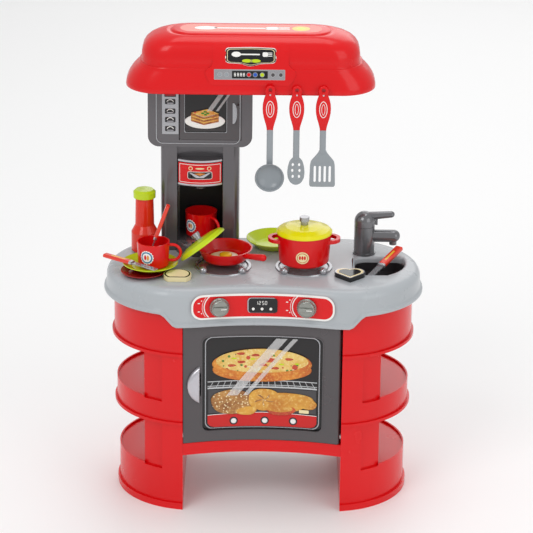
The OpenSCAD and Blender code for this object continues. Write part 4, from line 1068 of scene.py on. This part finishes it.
def makeMicrowaveFront():
    face, door = flatOn(44), flatOn(44.9)
    put = patcher(face, "kitchen", "dark_plastic", 0)
    holedPatch("micro_frame", subdivideLoop(roundRect(113, 93, 9, (-89.5, 518)), 6),
        [roundRect(111, 91, 8, (-89.5, 518))],
               face, -0.3, 1.0, "silver", "kitchen", "dark_plastic", 0)
    put("key_back", roundRect(21, 61.5, 3, (-126.8, 516)), 0.8, 2.1, "silver")
    put("key_display", roundRect(15.5, 7, 1, (-126.8, 541)), 1.6, 2.6, "blackGloss")
    put("key_display_red", roundRect(13, 4.6, 0.6, (-126.8, 541)), 2.2, 2.8, "deepRed")
    for i, z in enumerate((493, 505.6, 517.5, 530.8)):
        put("key_%d" % i, roundRect(14, 7, 1.4, (-126.8, z)), 1.7, 2.8, "insideDark")
        put("key_light_%d" % i, arcStrip(4.6, 1.0, (-126.8, z - 1.6), 20, 160, 14), 2.4, 3.1, "whitePaint")
        put("key_foot_%d" % i, roundRect(8.5, 0.9, 0.3, (-126.8, z - 1.9)), 2.4, 3.1, "silverBright")
    body, slot = "microwave_door_body", "black_gloss"
    dish = patcher(door, body, slot, 0)
    dish("micro_glass", roundRect(56, 56, 3, (-79.5, 515.5)), -0.4, 0.2, "ovenDark")
    holedPatch("micro_glass_rim", subdivideLoop(roundRect(58, 58, 3.4, (-79.5, 515.5)), 6),
        [roundRect(56, 56, 2.6, (-79.5, 515.5))],
               door, -0.4, 0.7, "silver", body, slot, 0)
    for i in range(4):
        dish("micro_grid_%d" % i, roundRect(53, 0.5, 0.2, (-79.5, 490 + 1.8 * i)), 0.1, 0.35, "darkGrey")
    blob("micro_plate", (-80.6, 503), (27, 10.5, 1.1), "whitePaint", body, slot, 0, 0, 0.3, 40, lambda u, v,
        d: door(u, v, 0.3 + d))
    for i, shade in enumerate(("lasagneSide", "lasagneTop", "lasagneSide", "lasagneTop", "lasagneSide")):
        z = 499.5 + 2.1 * i
        dish("lasagne_layer_%d" % i, [(-99, z + 4), (-82, z - 1.5), (-62, z + 3), (-62, z + 5.3), (-82,
            z + 0.8), (-99, z + 6.3)], 0.9, 1.8, shade, 3)
    dish("lasagne_top", [(-99, 515), (-82, 509.4), (-62, 514), (-77, 520.5)], 0.9, 2.1, "lasagneTop", 3)
    for k in range(4):
        blob("lasagne_leaf_%d" % k, (-80 + 3.4 * math.cos(1.6 * k), 514.6 + 2 * math.sin(1.6 * k)), (2.3, 1.2,
            0.6), "leafGreen", body, slot,
             0.2, k, 0.5, 12, lambda u, v, d: door(u, v, 2.0 + d))
    # two slanting bands of painted reflection on the microwave glass
    for i, (x, w) in enumerate(((-78, 7), (-66, 3.5))):
        dish("micro_glare_%d" % i, [(x, 518), (x + w, 518), (x + w + 17, 543), (x + 17, 543)], 2.6, 2.7,
            "glareWhite")
    grip = oval(6.4, 15.5, (-43.4, 514.5), 40)
    dish("micro_grip_dish", grip, -0.4, 0.5, "insideDark")
    dish("micro_grip", [p for p in oval(5.2, 14.5, (-42.6, 514.5), 40) if p[0] > -43.8], 0.2, 1.7, "silver")


# near-black used only as painted shade at the back of the niche
plastic("blackMatt", (12, 11, 12), 0.5, 0.03, 0.1)
plastic("leafGreen", (60, 140, 40), 0.4, 0.05, 0.3)
makeColumnFittings()
makeMicrowaveFront()
print("column: done")


def roundel(name, place, r, body, slot="red_ware"):
    put = patcher(place, body, slot, 3, name)
    edge = [(r * (1 + 0.05 * math.cos(16 * a)) * math.cos(a),
        r * (1 + 0.05 * math.cos(16 * a)) * math.sin(a)) for a in
            [2 * math.pi * k / 96 for k in range(96)]]
    put("_edge", edge, -0.2, 0.35, "whitePaint")
    put("_blue", oval(r * 0.86, r * 0.86, (0, 0), 40), 0.1, 0.5, "badgeBlue")
    put("_field", oval(r * 0.66, r * 0.66, (0, 0), 36), 0.3, 0.65, "whitePaint")
    put("_leaf_left", oval(r * 0.17, r * 0.38, (-r * 0.2, 0), 20), 0.5, 0.8, "redWare")
    put("_leaf_right", oval(r * 0.17, r * 0.38, (r * 0.2, 0), 20), 0.5, 0.8, "pizzaCrust")


plastic("badgeBlue", (56, 126, 168), 0.3, 0.02, 0.4)
roundel("mug_front_mark", lambda u, v, d: drumOn(-147, -33, 21.3, -112)(u, v + 343.5, d), 9.2,
    "mug_front_body")
roundel("mug_rear_mark", lambda u, v, d: drumOn(-86, 70, 21.3, -132)(u, v + 350.5, d), 8.6, "mug_rear_body")


def makePotMark():
    wall = drumOn(54, -14, 35.6, -94)
    put = patcher(wall, "pot_body", "red_ware", 3, "pot_mark")
    put("", oval(8.6, 8.2, (0, 344), 36), -0.3, 0.7, "cream")
    put("_ring", oval(7.2, 6.8, (0, 344), 36), 0.3, 0.9, "pizzaCrust")
    put("_field", oval(6.2, 5.8, (0, 344), 36), 0.5, 1.05, "cream")
    for i in (-1, 0, 1):
        put("_leaf_%d" % (i + 1), oval(1.3, 2.8, (i * 3.2, 344.4), 18), 0.9, 1.25, "redWare")


def makeDishes():
    # rimmed faces for the two sauce dishes, and the pan's egg
    up = lambda z: lambda u, v, d: (u, v, z + d)
    flatSide = [p for p in oval(17.2, 17.2, (-114, -61), 60) if p[1] > -74]
    gridPatch("dish_round_rim", flatSide, up(324.2), -0.2, 0.5, "blackGloss", "dish_round_body", "cream_ware",
        0)
    inner = [(-114 + (x + 114) * 0.88, -61.6 + (y + 61.6) * 0.88) for x, y in flatSide]
    gridPatch("dish_round_face", inner, up(324.2), 0.3, 0.8, "cream", "dish_round_body", "cream_ware", 0)
    lobe = 8.49
    heart = oval(12, 12, (lobe, lobe), 20, -45, 135) + oval(12, 12, (-lobe, lobe), 20, 45, 225) + [(0,
        -2 * lobe)]
    for tag, share, low, high, finish in (("rim", 0.96, -0.2, 0.4, "silverBright"), ("border", 0.88, 0.2, 0.6,
        "cream"),
                                          ("face", 0.72, 0.4, 0.85, "blackGloss")):
        loop = [(115 + share * u, -54 + 1.5 * (1 - share) + share * v) for u, v in heart]
        gridPatch("dish_heart_" + tag, loop, up(324.3), low, high, finish, "dish_heart_body", "black_ware", 0)
    blob("egg_white", (-53, -11), (18.4, 17.4, 1.1), "eggWhite", "frying_pan_body", "cream_ware", 0.06, 1.2,
        0.4, 40,
         lambda u, v, d: (u, v, 331.1 + d))
    blob("egg_yolk", (-51, -10), (8.6, 8.2, 4.2), "yolk", "frying_pan_body", "cream_ware", 0.0, 0, 0.5, 32,
         lambda u, v, d: (u, v, 331.8 + d))


makePotMark()
makeDishes()
print("tableware: done")


def makeFloor():
    mesh = bpy.data.meshes.new("floor")
    size = 12
    mesh.from_pydata([(-size, -size, 0), (size, -size, 0), (size, size, 0), (-size, size, 0)], [],
        [(0, 1, 2, 3)])
    floor = bpy.data.objects.new("floor", mesh)
    bpy.context.scene.collection.objects.link(floor)
    m = Maker("floorPaint")
    cloud = m.noise(0.8, 2)
    m.set(Base_Color=m.mix(cloud, (0.93, 0.93, 0.93, 1), (0.96, 0.96, 0.96, 1)), Roughness=0.6)
    mesh.materials.append(m.material)


makeFloor()
makeLights()
makeCamera()
print("scene: done")
